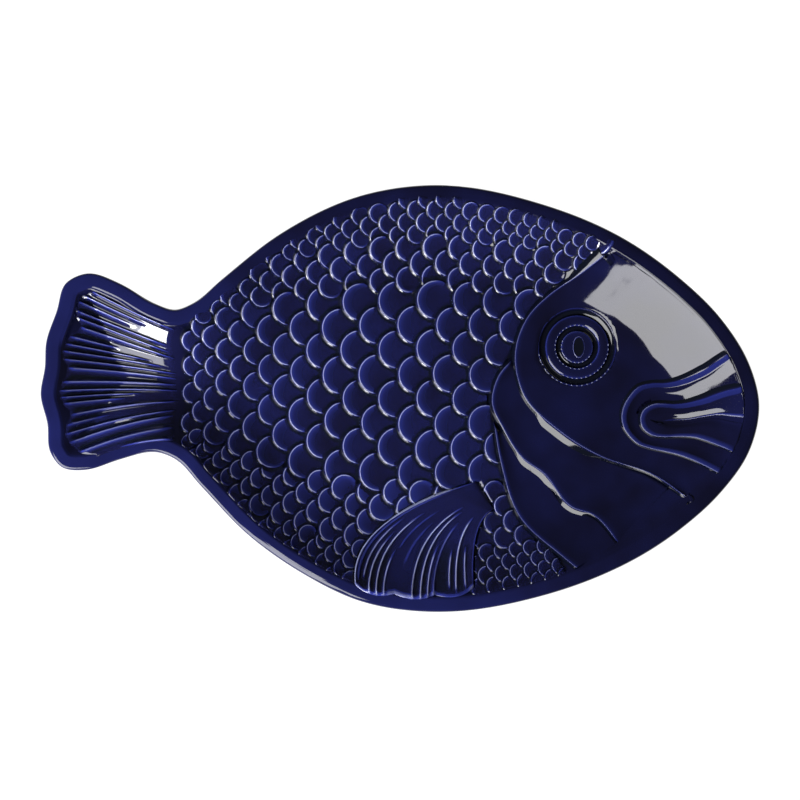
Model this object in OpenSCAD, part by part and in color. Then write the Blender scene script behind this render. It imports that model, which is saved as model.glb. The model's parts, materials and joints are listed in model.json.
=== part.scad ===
// Fish shaped serving platter: a shallow glazed dish with a fish moulded in relief on its inside.
// Millimetres, +Z up. The tail points to -X, the head to +X, and the foot ring stands on z = 0.

/* [Platter] */
// overall length from the end of the tail to the nose
platter_l = 400; // [380:1:420]
// overall width across the body
platter_w = 238; // [228:1:248]
// overall height from the table to the crest of the rim
platter_h = 32; // [29:0.5:36]

/* [Shell] */
// thickness of the clay
shell_t = 5.5; // [4.5:0.1:7]
// width of the smooth rim lip, seen from above
lip_w = 8.5; // [8:0.5:9.5]
// drop from the crest of the rim to the inner edge of the lip
lip_drop = 0.8; // [0.6:0.1:1.6]
// width of the curved wall between the lip and the flat floor, seen from above
wall_w = 48; // [44:1:52]

/* [Foot ring] */
// height of the foot ring below the shell
foot_h = 3.5; // [2.5:0.5:5]
// thickness of the foot ring
foot_t = 6; // [4:0.5:9]
// distance of the foot ring from the edge of the flat floor
foot_inset = 5; // [3:0.5:9]

/* [Scales] */
// distance between flank scales along a row
flank_pitch = 21.4; // [20:0.2:23]
// distance between two neighbouring rows of flank scales
flank_row = 14; // [13:0.25:15]
// distance between the middle scales along their rows
mid_pitch = 15; // [14:0.2:16]
// distance between two neighbouring rows of middle scales
mid_row = 8.8; // [8.2:0.1:9.4]
// distance between the small scales along their rows near the rim
fine_pitch = 10.6; // [9.8:0.2:11.4]
// distance between two neighbouring rows of small scales
fine_row = 6.2; // [5.8:0.1:6.8]
// height of the free edge of a scale
scale_h = 2.2; // [1.6:0.1:2.8]
// height of the root of a scale
scale_root_h = 0.6; // [0.4:0.1:1]
// groove that is left free around each scale
groove = 0.5; // [0.3:0.1:0.8]
// distance of the scale field from the outer edge of the rim
field_inset = 9.5; // [9:0.5:11]

/* [Tail] */
// number of rays in the tail
ray_count = 16; // [12:1:18]
// width of a tail ray
ray_w = 3; // [2:0.1:3.4]
// height of a tail ray
ray_h = 1.8; // [1.2:0.1:2.4]

/* [Fin] */
// height of the breast fin above the dish
fin_h = 2.4; // [1.8:0.1:3.2]
// number of rays in each of the three lobes of the fin
fin_rays = 4; // [3:1:5]
// width of a fin ray
fin_ray_w = 2; // [1.4:0.1:2.4]
// height of a fin ray above the fin
fin_ray_h = 0.9; // [0.6:0.1:1.4]

/* [Head] */
// height of the free edges of the gill flap, the gill cover and the cheek
plate_h = 2.8; // [2.2:0.1:3.4]
// height of the same plates away from their free edges
plate_root_h = 1.3; // [1:0.1:1.6]
// outer radius of the eye
eye_r = 21.8; // [21:0.2:22.6]
// width of the raised ring around the eye
eye_ring_w = 2.6; // [2:0.1:3]
// width of the broad ring inside it
eye_inner_w = 5.4; // [4.8:0.1:5.8]
// radius of the iris inside the rings
iris_r = 9; // [8:0.2:10]
// radius of the pupil
pupil_r = 5.2; // [4:0.2:6]
// height of the eye above the cheek
eye_h = 1.8; // [1.2:0.1:2.4]
// width of the outer lips
lips_w = 8.6; // [7.6:0.2:9]
// width of the inner lips
inner_lips_w = 5; // [4:0.2:5.4]
// height of the lips above the cheek
lips_h = 1.6; // [1.2:0.1:2.2]
// clearance under the pieces of the relief, so that no two solids share clay
seat_gap = 0.2; // [0.15:0.05:0.3]

/* [Hidden] */
half_l = platter_l / 2;
half_w = platter_w / 2;
floor_z = foot_h + shell_t;
wall_z = platter_h - lip_drop - floor_z;
curve_steps = 4;

// the fish in shares of its half length and half width: from the nose over the back to the tail,
// and back along the belly
outline_f = [
    [1, -0.025], [0.975, 0.15], [0.893, 0.375], [0.78, 0.562], [0.614, 0.758],
    [0.39, 0.913], [0.11, 1], [-0.11, 0.95], [-0.333, 0.772], [-0.5, 0.552],
    [-0.575, 0.447], [-0.625, 0.416], [-0.68, 0.444], [-0.778, 0.539], [-0.87, 0.587],
    [-0.93, 0.54], [-0.955, 0.41], [-0.985, 0.26], [-0.988, 0.15], [-1, 0.017],
    [-0.981, -0.118], [-0.973, -0.252], [-0.94, -0.323], [-0.875, -0.336], [-0.778, -0.286],
    [-0.675, -0.252], [-0.627, -0.282], [-0.555, -0.408], [-0.42, -0.643], [-0.277, -0.814],
    [-0.11, -0.95], [0.11, -1], [0.39, -0.927], [0.614, -0.787], [0.70, -0.707],
    [0.78, -0.613], [0.893, -0.44], [0.972, -0.248]
];
// free edge of the cheek, from the nape down to the throat
cheek_f = [
    [0.56, 0.66], [0.5, 0.581], [0.422, 0.492], [0.36, 0.385], [0.325, 0.22],
    [0.35, 0.014], [0.447, -0.15], [0.558, -0.267], [0.712, -0.361], [0.79, -0.455]
];
// front edge of the gill cover, which runs under the cheek
cheek_low_f = [
    [0.334, 0.19], [0.352, 0.005], [0.447, -0.158], [0.558, -0.275], [0.712, -0.369], [0.785, -0.46]
];
// free edge of the gill cover
gill_f = [
    [0.325, 0.2], [0.277, 0.103], [0.26, -0.02], [0.291, -0.141], [0.345, -0.28],
    [0.403, -0.351], [0.486, -0.515], [0.536, -0.543], [0.605, -0.675]
];
// front edge of the gill flap, which runs under the gill cover
gill_low_f = [
    [0.279, -0.13], [0.338, -0.288], [0.398, -0.361], [0.48, -0.523], [0.53, -0.553], [0.596, -0.685]
];
// free edge of the gill flap
flap_f = [[0.264, -0.1], [0.283, -0.29], [0.341, -0.567], [0.45, -0.735], [0.485, -0.782]];
// head side edge of the scale field, just behind the plates of the gill
field_f = [
    [0.62, 1.1], [0.545, 0.70], [0.478, 0.607], [0.41, 0.5], [0.35, 0.4], [0.315, 0.25], [0.27, 0.1],
    [0.253, -0.02], [0.256, -0.12], [0.273, -0.29], [0.33, -0.575], [0.437, -0.75], [0.49, -1.1]
];
// fold of skin behind the nape
nape_f = [[0.497, 0.607], [0.528, 0.648], [0.55, 0.69]];
// middle line of the outer lips and of the inner lips, around the mouth
lips_f = [
    [0.915, 0.13], [0.784, 0.052], [0.695, 0.014], [0.662, -0.023], [0.653, -0.08],
    [0.659, -0.131], [0.678, -0.178], [0.72, -0.211], [0.801, -0.225], [0.89, -0.29]
];
inner_lips_f = [
    [0.93, -0.012], [0.82, -0.046], [0.76, -0.06], [0.735, -0.094], [0.76, -0.128],
    [0.82, -0.138], [0.92, -0.172]
];
eye_f = [0.4985, 0.2435];
// shoulder, bend and tip of the fin, each from the fin's upper edge to its rear edge
fin_root_f = [[0.2225, -0.387], [0.268, -0.523]];
fin_bend_f = [[-0.16, -0.58], [0.2, -0.571]];
fin_tip_f = [[-0.1265, -0.853], [0.21, -0.866]];
// root line and end line of the tail rays, from the upper ray to the lower one
tail_root_f = [[-0.62, 0.31], [-0.625, 0.18], [-0.614, 0.06], [-0.614, -0.03], [-0.622, -0.155]];
tail_end_f = [
    [-0.862, 0.497], [-0.908, 0.4], [-0.94, 0.25], [-0.95, 0.07], [-0.94, -0.09], [-0.9, -0.25]
];

function at(f) = [f[0] * half_l, f[1] * half_w];
function all_at(list) = [for (f = list) at(f)];
function mix(a, b, t) = a + (b - a) * t;

// smooth curve through points, with tangents that fit uneven spacing
function spline(p0, p1, p2, p3, t) =
    let (
        a = norm(p1 - p0),
        b = norm(p2 - p1),
        c = norm(p3 - p2),
        m1 = b * ((p1 - p0) / a - (p2 - p0) / (a + b) + (p2 - p1) / b),
        m2 = b * ((p2 - p1) / b - (p3 - p1) / (b + c) + (p3 - p2) / c)
    )
    (2 * t ^ 3 - 3 * t ^ 2 + 1) * p1 + (t ^ 3 - 2 * t ^ 2 + t) * m1
    + (3 * t ^ 2 - 2 * t ^ 3) * p2 + (t ^ 3 - t ^ 2) * m2;
function closed_curve(p, steps) =
    let (n = len(p))
    [for (i = [0:n - 1], s = [0:steps - 1])
        spline(p[(i + n - 1) % n], p[i], p[(i + 1) % n], p[(i + 2) % n], s / steps)];
// the point at share u of an open curve
function on_curve(p, u) =
    let (
        n = len(p),
        k = min(n - 2, floor(u * (n - 1))),
        before = k == 0 ? 2 * p[0] - p[1] : p[k - 1],
        after = k == n - 2 ? 2 * p[n - 1] - p[n - 2] : p[k + 2]
    )
    spline(before, p[k], p[k + 1], after, u * (n - 1) - k);

outline = closed_curve(all_at(outline_f), curve_steps);
n_out = len(outline);
function rim_normal(i) =
    let (t = outline[(i + 1) % n_out] - outline[(i + n_out - 1) % n_out])
    [-t[1], t[0]] / norm(t);
normals = [for (i = [0:n_out - 1]) rim_normal(i)];

// distance from a point to a line between two points, and to the outer edge of the rim
function seg_d(p, a, b) =
    let (ab = b - a, t = max(0, min(1, ((p - a) * ab) / (ab * ab))))
    norm(p - a - t * ab);
function rim_d(p) = min([for (i = [0:n_out - 1]) seg_d(p, outline[i], outline[(i + 1) % n_out])]);
// height of the inside of the dish
lip_top = [[6.4, 0.12], [3.8, 0], [1.8, 0.35], [0.5, 1.4]];
lip_under = [[0, 3], [0.5, 4.6], [2.2, 5.7]];
lip_table = concat([[lip_w, lip_drop]], lip_top, [lip_under[0]]);
function wall_at(d) =
    let (g = max(0, 1 - (d - lip_w) / wall_w))
    d < lip_w ? platter_h - lookup(d, lip_table) : floor_z + wall_z * g * g;
function bowl(p) = wall_at(rim_d(p));

// length along the outline, from the nose over the back
function add_up(v, i = 0, sum = 0) = i == len(v) ? [] : concat([sum], add_up(v, i + 1, sum + v[i]));
steps_out = [for (i = [0:n_out - 1]) norm(outline[(i + 1) % n_out] - outline[i])];
run_out = add_up(steps_out);
perimeter = run_out[n_out - 1] + steps_out[n_out - 1];
function wrapped(values) =
    concat([for (i = [0:n_out - 1]) [run_out[i], values[i]]], [[perimeter, values[0]]]);
table_x = wrapped([for (p = outline) p[0]]);
table_y = wrapped([for (p = outline) p[1]]);
table_nx = wrapped([for (n = normals) n[0]]);
table_ny = wrapped([for (n = normals) n[1]]);
function rim_n(s) = let (v = [lookup(s, table_nx), lookup(s, table_ny)]) v / norm(v);
function rim_p(s, d) = [lookup(s, table_x), lookup(s, table_y)] + d * rim_n(s);
function wrap_s(s) = s < 0 ? s + perimeter : s;
// length along the outline at a given x, on the back or on the belly
half_n = n_out / 2;
function back_s(x) = lookup(x, [for (i = [0:half_n]) [outline[i][0], run_out[i]]]);
function belly_s(x) = lookup(x, [for (i = [half_n:n_out - 1]) [outline[i][0], run_out[i]]]);

// closed solid from rings of points, each ring with the same number of points, with flat ends
module tube_of(rings) {
    n = len(rings[0]);
    m = len(rings);
    polyhedron(
        points = [for (r = rings) each r],
        faces = concat(
            [for (k = [0:m - 2], i = [0:n - 1]) let (j = (i + 1) % n)
                [k * n + i, k * n + j, (k + 1) * n + i]],
            [for (k = [0:m - 2], i = [0:n - 1]) let (j = (i + 1) % n)
                [k * n + j, (k + 1) * n + j, (k + 1) * n + i]],
            [[for (i = [n - 1:-1:0]) i]],
            [[for (i = [0:n - 1]) (m - 1) * n + i]]
        )
    );
}

// sheet of clay on the dish: a grid of plan points, with the height of its top for each column
module sheet(grid, heights) {
    m = len(grid);
    n = len(grid[0]);
    top = [for (row = grid, j = [0:n - 1])
        [row[j][0], row[j][1], min(platter_h, bowl(row[j]) + heights[j])]];
    base = [for (row = grid, j = [0:n - 1]) [row[j][0], row[j][1], bowl(row[j]) + seat_gap]];
    o = m * n;
    polyhedron(
        points = concat(top, base),
        faces = concat(
            [for (i = [0:m - 2], j = [0:n - 2]) [i * n + j, i * n + j + 1, (i + 1) * n + j]],
            [for (i = [0:m - 2], j = [0:n - 2]) [i * n + j + 1, (i + 1) * n + j + 1, (i + 1) * n + j]],
            [for (i = [0:m - 2], j = [0:n - 2]) [o + i * n + j, o + (i + 1) * n + j, o + i * n + j + 1]],
            [for (i = [0:m - 2], j = [0:n - 2])
                [o + i * n + j + 1, o + (i + 1) * n + j, o + (i + 1) * n + j + 1]],
            [for (i = [0:m - 2]) [i * n, (i + 1) * n, o + i * n]],
            [for (i = [0:m - 2]) [(i + 1) * n, o + (i + 1) * n, o + i * n]],
            [for (i = [0:m - 2]) [i * n + n - 1, o + i * n + n - 1, (i + 1) * n + n - 1]],
            [for (i = [0:m - 2]) [(i + 1) * n + n - 1, o + i * n + n - 1, o + (i + 1) * n + n - 1]],
            [for (j = [0:n - 2]) [j, o + j, j + 1]],
            [for (j = [0:n - 2]) [j + 1, o + j, o + j + 1]],
            [for (j = [0:n - 2]) [(m - 1) * n + j, (m - 1) * n + j + 1, o + (m - 1) * n + j]],
            [for (j = [0:n - 2]) [(m - 1) * n + j + 1, o + (m - 1) * n + j + 1, o + (m - 1) * n + j]]
        )
    );
}

// raised ridge, round on top, that narrows at both of its ends: its path holds plan points and heights
// over the dish
ridge_section = [[-0.5, 0], [-0.36, 0.66], [0, 1], [0.36, 0.66], [0.5, 0]];
function lifted(p, lift) = [p[0], p[1], lift];
module ridge(path, w, h, steps, blunt = 0.35) {
    tube_of([for (k = [0:steps])
        let (
            u = k / steps,
            p = on_curve(path, u),
            t = on_curve(path, min(1, u + 0.01)) - on_curve(path, max(0, u - 0.01)),
            side = [-t[1], t[0]] / norm(t),
            ends = min(1, blunt + 6 * u * (1 - u))
        )
        [for (q = ridge_section)
            let (a = [p[0], p[1]] + side * (q[0] * w * ends))
            [a[0], a[1], min(platter_h, bowl(a) + p[2] + seat_gap + q[1] * h * ends)]]
    ]);
}
// the same ridge as a closed ring
module ring_ridge(c, r, w, h, lift, steps) {
    n = len(ridge_section);
    polyhedron(
        points = [for (k = [0:steps - 1], q = ridge_section)
            let (a = c + (r - q[0] * w) * [cos(360 * k / steps), sin(360 * k / steps)])
            [a[0], a[1], bowl(a) + lift + seat_gap + q[1] * h]],
        faces = concat(
            [for (k = [0:steps - 1], i = [0:n - 1])
                let (j = (i + 1) % n, l = (k + 1) % steps)
                [k * n + i, k * n + j, l * n + i]],
            [for (k = [0:steps - 1], i = [0:n - 1])
                let (j = (i + 1) % n, l = (k + 1) % steps)
                [k * n + j, l * n + j, l * n + i]]
        )
    );
}

// the dish: rings from the outer edge of the rim to a narrow loop along the middle of the floor
function middle_y(x) = 0.1 * half_w * max(0, min(1, (-0.15 * half_l - x) / (0.45 * half_l)));
function inner_p(i) =
    let (x = 0.7 * outline[i][0], y = middle_y(x))
    [x, y + 0.06 * (outline[i][1] - y)];
function wall_p(i, g) = mix(outline[i] + lip_w * normals[i], inner_p(i), g);
wall_shares = [0, 0.06, 0.12, 0.18, 0.24, 0.31, 0.38, 0.46, 0.56, 0.74, 1];
function level_ring(e) =
    [for (i = [0:n_out - 1]) let (p = outline[i] + e[0] * normals[i]) [p[0], p[1], platter_h - e[1]]];
function wall_ring(g, down) =
    [for (i = [0:n_out - 1])
        let (p = wall_p(i, g), z = g == 0 ? wall_at(lip_w) : bowl(p))
        [p[0], p[1], z - down]];

module platter_body() {
    top_shares = [for (k = [len(wall_shares) - 1:-1:0]) wall_shares[k]];
    rings = concat(
        [for (g = top_shares) wall_ring(g, 0)],
        [for (e = lip_top) level_ring(e)],
        [for (e = lip_under) level_ring(e)],
        [for (g = wall_shares) wall_ring(g, shell_t)]
    );
    n = n_out;
    m = len(rings);
    o = (m - 1) * n;
    color("midnightblue")
        polyhedron(
            points = [for (r = rings) each r],
            faces = concat(
                [for (k = [0:m - 2], i = [0:n - 1]) let (j = (i + 1) % n)
                    [k * n + i, (k + 1) * n + i, k * n + j]],
                [for (k = [0:m - 2], i = [0:n - 1]) let (j = (i + 1) % n)
                    [k * n + j, (k + 1) * n + i, (k + 1) * n + j]],
                // the strip that closes the floor, and the same strip under it
                [for (i = [1:half_n - 2]) [i, i + 1, n - i]],
                [for (i = [1:half_n - 2]) [i + 1, n - i - 1, n - i]],
                [[0, 1, n - 1], [half_n - 1, half_n, half_n + 1]],
                [for (i = [1:half_n - 2]) [o + i + 1, o + i, o + n - i]],
                [for (i = [1:half_n - 2]) [o + n - i - 1, o + i + 1, o + n - i]],
                [[o + 1, o, o + n - 1], [o + half_n, o + half_n - 1, o + half_n + 1]]
            )
        );
}

// oval foot ring under the flat floor
foot_b = half_w - lip_w - wall_w - foot_inset;
foot_head_x = half_l - lip_w - wall_w - foot_inset - 12;
foot_tail_x = -0.5 * half_l + foot_inset;
foot_a = (foot_head_x - foot_tail_x) / 2;
function oval(a, b) = [for (k = [0:71]) [a * cos(5 * k), b * sin(5 * k)]];
module foot_ring() {
    color("tan")
        translate([(foot_head_x + foot_tail_x) / 2, 0, 0])
            linear_extrude(height = foot_h - seat_gap)
                difference() {
                    polygon(oval(foot_a, foot_b));
                    polygon(oval(foot_a - foot_t, foot_b - foot_t));
                }
}

// rays of the tail, fanned from the root line to the end line
module tail_rays() {
    root = all_at(tail_root_f);
    end = all_at(tail_end_f);
    color("navy")
        for (k = [0:ray_count - 1])
            let (u = (k + 0.5) / ray_count, a = on_curve(root, u), b = on_curve(end, u))
                ridge([lifted(a, 0), lifted(mix(a, b, 0.5) + [0, 3.3 * u - 0.8], 0), lifted(b, 0)],
                    ray_w, ray_h, 10);
}

// breast fin: three lobes, with rays that bend from the shoulder to the scalloped tip
function fin_p(u, v) =
    let (
        r = at(mix(fin_root_f[0], fin_root_f[1], u)),
        c = at(mix(fin_bend_f[0], fin_bend_f[1], u)),
        reach = sqrt(max(0, sin(180 * u))),
        t = at(mix(fin_tip_f[0], fin_tip_f[1], u)) + [0, -1.5 - 2.5 * reach - 2 * abs(sin(540 * u))]
    )
    r * (1 - v) ^ 2 + c * 2 * v * (1 - v) + t * v ^ 2;
fin_u_steps = 24;
fin_v = [0, 0.04, 0.1, 0.18, 0.26, 0.34, 0.42, 0.5, 0.58, 0.66, 0.74, 0.82, 0.9, 0.96, 1];
// the fin is full at its shoulder and thins out toward the rim
shoulder_v = 0.12;
function fin_top(v) =
    fin_h * (v < shoulder_v
        ? 0.5 + 0.5 * v / shoulder_v
        : 1 - 0.7 * ((v - shoulder_v) / (1 - shoulder_v)) ^ 2);
fin_edge = concat(
    [for (v = [0:0.1:0.95]) fin_p(0, v)],
    [for (k = [0:fin_u_steps]) fin_p(k / fin_u_steps, 1)],
    [for (v = [0.9:-0.1:0]) fin_p(1, v)]
);
module pectoral_fin() {
    grid = [for (k = [0:fin_u_steps]) [for (v = fin_v) fin_p(k / fin_u_steps, v)]];
    color("mediumblue") sheet(grid, [for (v = fin_v) fin_top(v)]);
}
// the rays of a lobe stand close together: share of the lobe before its first ray, and between first and last
lobe_first = 0.12;
lobe_fill = 0.62;
module fin_ray_set() {
    color("royalblue")
        for (lobe = [0:2], k = [0:fin_rays - 1])
            let (u = (lobe + lobe_first + lobe_fill * k / (fin_rays - 1)) / 3)
                ridge([for (v = [0.26, 0.4, 0.6, 0.78, 0.92]) lifted(fin_p(u, v), fin_top(v))],
                    fin_ray_w, fin_ray_h, 12);
}

// plates of the gill and the head, each from its free edge to the edge that lies under the next plate
function plate_heights(shares) = [for (v = shares) plate_root_h + (plate_h - plate_root_h) * (1 - v) ^ 2];
plate_v = [0, 0.12, 0.3, 0.6, 0.97];
module plate(rear_f, front_f, steps) {
    rear = all_at(rear_f);
    front = all_at(front_f);
    sheet(
        [for (k = [0:steps])
            [for (v = plate_v) mix(on_curve(rear, k / steps), on_curve(front, k / steps), v)]],
        plate_heights(plate_v)
    );
}
module gill_flap() {
    color("darkslateblue") plate(flap_f, gill_low_f, 18);
}
module gill_cover() {
    color("slateblue") plate(gill_f, cheek_low_f, 24);
}
cheek_v = [0, 0.02, 0.05, 0.1, 0.17, 0.25, 0.33, 0.41, 0.49, 0.57, 0.65, 0.73, 0.81, 0.88, 0.94, 1];
cheek_crest = 0.12;
module cheek() {
    edge = all_at(cheek_f);
    s_nape = back_s(edge[0][0] + 2);
    s_throat = belly_s(edge[len(edge) - 1][0] + 2) - perimeter;
    steps = 36;
    color("darkblue")
        sheet(
            [for (k = [0:steps])
                let (
                    a = on_curve(edge, k / steps),
                    b = rim_p(wrap_s(mix(s_nape, s_throat, k / steps)), field_inset)
                )
                [for (v = cheek_v) mix(a, b, v)]],
            [for (v = cheek_v)
                let (c = max(0, 1 - v / cheek_crest))
                plate_root_h + (plate_h - plate_root_h) * c * c]
        );
}
module nape_fold() {
    color("navy") ridge([for (f = nape_f) lifted(at(f), 0)], 3.2, plate_root_h, 8);
}

// eye: a raised ring, a second ring inside it, the iris and the pupil
eye_p = at(eye_f);
eye_seat = max([for (a = [0:30:330]) bowl(eye_p + iris_r * [cos(a), sin(a)])]) + plate_root_h + seat_gap;
module eye_socket() {
    color("cornflowerblue")
        ring_ridge(eye_p, eye_r - eye_ring_w / 2, eye_ring_w, eye_h, plate_root_h, 60);
}
module eye_inner_ring() {
    color("royalblue")
        ring_ridge(eye_p, eye_r - eye_ring_w - 1.4 - eye_inner_w / 2, eye_inner_w, eye_h, plate_root_h, 48);
}
module iris() {
    color("navy")
        translate([eye_p[0], eye_p[1], eye_seat])
            difference() {
                cylinder(h = eye_h * 0.7, r = iris_r, $fn = 96);
                translate([0, 0, -1]) cylinder(h = eye_h + 2, r = pupil_r + seat_gap, $fn = 96);
            }
}
module pupil() {
    color("black") translate([eye_p[0], eye_p[1], eye_seat]) cylinder(h = eye_h, r = pupil_r, $fn = 96);
}

// lips: two folds, one inside the other, around the slit of the mouth
module outer_lips() {
    color("blue") ridge([for (f = lips_f) lifted(at(f), plate_root_h)], lips_w, lips_h, 48, 0.8);
}
module inner_lips() {
    color("royalblue")
        ridge([for (f = inner_lips_f) lifted(at(f), plate_root_h)], inner_lips_w, lips_h * 0.8, 36, 0.8);
}

// scales. Each one is [plan point, radius, direction of its free edge, kind]
field_edge = all_at(field_f);
field_line = [for (k = [0:36]) on_curve(field_edge, k / 36)];
function behind_gill(p) =
    min([for (i = [0:35])
        let (a = field_line[i], b = field_line[i + 1])
        p[1] <= a[1] && p[1] > b[1] ? mix(a, b, (a[1] - p[1]) / (a[1] - b[1]))[0] - p[0] : 999]);
function crossings(p, poly) =
    len([for (i = [0:len(poly) - 1])
        let (a = poly[i], b = poly[(i + 1) % len(poly)])
        if ((a[1] > p[1]) != (b[1] > p[1]) && p[0] < mix(a, b, (p[1] - a[1]) / (b[1] - a[1]))[0]) 1]);
function in_fin(p) = crossings(p, fin_edge) % 2 == 1;
// nearest point of a line of points, as [distance, point]
function foot_on(p, a, b) =
    let (ab = b - a, t = max(0, min(1, ((p - a) * ab) / (ab * ab))))
    a + t * ab;
function near_line(p, line, closed) =
    let (
        n = len(line),
        q = [for (i = [0:n - (closed ? 1 : 2)]) foot_on(p, line[i], line[(i + 1) % n])],
        d = [for (v = q) norm(v - p)],
        k = search(min(d), d, 1)[0]
    )
    [d[k], q[k]];

// rows of scales run along the fish: large ones on the flank, middle ones, and small ones near the rim
back_large = 4;
belly_large = 3;
mid_last = 7;
row_last = 12;
neck_x = -0.42 * half_l;
tail_line_x = -0.6 * half_l;
function row_gap(k, large) =
    k <= large ? flank_row
    : k == large + 1 ? (flank_row + mid_row) / 2
    : k <= mid_last ? mid_row
    : k == mid_last + 1 ? (mid_row + fine_row) / 2
    : fine_row;
function row_out(k, large) = k == 0 ? 0 : row_out(k - 1, large) + row_gap(k, large);
// the rows close up where the body narrows, and the scales crowd a little behind the gill
function back_y(x) = rim_p(back_s(x), 0)[1];
function belly_y(x) = rim_p(belly_s(x), 0)[1];
function half_span(x, side) =
    side > 0 ? back_y(x) - middle_y(x) : side < 0 ? middle_y(x) - belly_y(x) : (back_y(x) - belly_y(x)) / 2;
function size_at(x, side) = pow(max(1, half_span(x, side)) / half_w, 0.68);
function crowd(x) = 1 - 0.22 * max(0, min(1, (x - 0.075 * half_l) / (0.25 * half_l)));
function row_y(b, x) =
    middle_y(x) + sign(b) * row_out(abs(b), b > 0 ? back_large : belly_large) * size_at(x, sign(b));
function half_steps(x, pitch) =
    x < tail_line_x ? [] : concat([x], half_steps(x - 0.5 * pitch * size_at(x, 0) * crowd(x), pitch));
steps_of = [for (pitch = [flank_pitch, mid_pitch, fine_pitch]) half_steps(0.59 * half_l, pitch)];
pitch_of = [flank_pitch, mid_pitch, fine_pitch];
row_of = [flank_row, mid_row, fine_row];
function fin_gap(p) = near_line(p, fin_edge, true)[0] * (in_fin(p) ? -1 : 1);
scale_list = [for (b = [-row_last:row_last])
    let (
        large = b > 0 ? back_large : belly_large,
        k = abs(b) <= large ? 0 : abs(b) <= mid_last ? 1 : 2,
        xs = steps_of[k]
    )
    for (i = [0:len(xs) - 1])
        let (
            x = xs[i],
            p = [x, row_y(b, x)],
            pitch = pitch_of[k] * size_at(x, 0) * crowd(x),
            row = row_of[k] * size_at(x, sign(b)),
            r = 0.98 * (pitch * pitch / 4 + row * row) / (2 * row),
            g = behind_gill(p)
        )
        if ((i + abs(b)) % 2 == 0 && p[1] < back_y(x) && p[1] > belly_y(x) && g > -0.5 * r && g < 900
            && rim_d(p) > field_inset + 0.3 && fin_gap(p) > -0.5 * r)
        [p, r, atan2(row_y(b, x - 1) - row_y(b, x + 1), -2),
            k == 0 ? (x > neck_x ? "flank" : "tail")
            : b > 0 ? "back"
            : x > 0.22 * half_l ? "breast" : "belly"]];

// place of a scale: its three axes on the dish, and the point under its middle
function axes_at(p, dir) =
    let (
        e = 0.5,
        gx = (bowl(p + [e, 0]) - bowl(p - [e, 0])) / (2 * e),
        gy = (bowl(p + [0, e]) - bowl(p - [0, e])) / (2 * e),
        n = [-gx, -gy, 1] / norm([gx, gy, 1]),
        t = [cos(dir), sin(dir), 0],
        x = (t - (t * n) * n) / norm(t - (t * n) * n)
    )
    [x, cross(n, x), n];
// how far the dish rises above the plane of a scale at its sides
function side_rise(p, r, axes) =
    max([for (a = [60:30:300])
        let (q = r * 0.9 * (cos(a) * axes[0] + sin(a) * axes[1]))
        bowl(p + [q[0], q[1]]) - bowl(p) - q[2]]);
module scale_tile(s, list) {
    p = s[0];
    r = s[1];
    axes = axes_at(p, s[2]);
    z = bowl(p);
    rise = max(0, side_rise(p, r, axes)) + seat_gap;
    // the scales that lie over this one are the nearer ones on its head side
    over = [for (o = list)
        let (v = o[0] - p)
        if (norm(v) < r + o[1] + groove && (v[0] > 0.01 || (abs(v[0]) <= 0.01 && v[1] > 0))) o];
    rim = near_line(p, outline, true);
    fin = near_line(p, fin_edge, true);
    gill = near_line(p, field_line, false);
    // what the rim, the fin and the gill leave free of it: the distance and the direction of each
    walls = [
        [rim[0] - field_inset, rim[1] - p],
        in_fin(p) ? [-fin[0] - groove, p - fin[1]] : [fin[0] - groove, fin[1] - p],
        behind_gill(p) < 0 ? [-gill[0] - groove, p - gill[1]] : [gill[0] - groove, gill[1] - p]
    ];
    tilt = atan((scale_h - scale_root_h) / (2 * r));
    multmatrix([
        [axes[0][0], axes[1][0], axes[2][0], p[0] + rise * axes[2][0]],
        [axes[0][1], axes[1][1], axes[2][1], p[1] + rise * axes[2][1]],
        [axes[0][2], axes[1][2], axes[2][2], z + rise * axes[2][2]],
        [0, 0, 0, 1]
    ])
        intersection() {
            linear_extrude(height = scale_h)
                difference() {
                    circle(r, $fn = 48);
                    for (o = over)
                        let (v = [o[0][0] - p[0], o[0][1] - p[1], bowl(o[0]) - z])
                            translate([v * axes[0], v * axes[1]]) circle(o[1] + groove, $fn = 48);
                    for (w = walls)
                        if (w[0] < r)
                            let (v = [w[1][0], w[1][1], 0])
                                rotate(atan2(v * axes[1], v * axes[0]))
                                    translate([w[0], -2 * r]) square([4 * r, 4 * r]);
                }
            translate([r, 0, scale_h])
                rotate([0, -tilt, 0])
                    translate([-4 * r, -2 * r, -4 * r]) cube([6 * r, 4 * r, 4 * r]);
        }
}
module scale_group(kind) {
    for (s = scale_list)
        if (s[3] == kind)
            scale_tile(s, scale_list);
}
module flank_scales() {
    color("mediumblue") scale_group("flank");
}
module tail_root_scales() {
    color("blue") scale_group("tail");
}
module back_scales() {
    color("blue") scale_group("back");
}
module belly_scales() {
    color("blue") scale_group("belly");
}
module breast_scales() {
    color("royalblue") scale_group("breast");
}

platter_body();
foot_ring();
tail_rays();
flank_scales();
tail_root_scales();
back_scales();
belly_scales();
breast_scales();
pectoral_fin();
fin_ray_set();
gill_flap();
gill_cover();
cheek();
nape_fold();
eye_socket();
eye_inner_ring();
iris();
pupil();
outer_lips();
inner_lips();
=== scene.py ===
"""Fish shaped serving platter: one press moulded stoneware dish under a cobalt glaze, on a bare foot ring."""

import json
import math

import bmesh
import bpy
import numpy as np
from mathutils import Matrix, Vector

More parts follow.
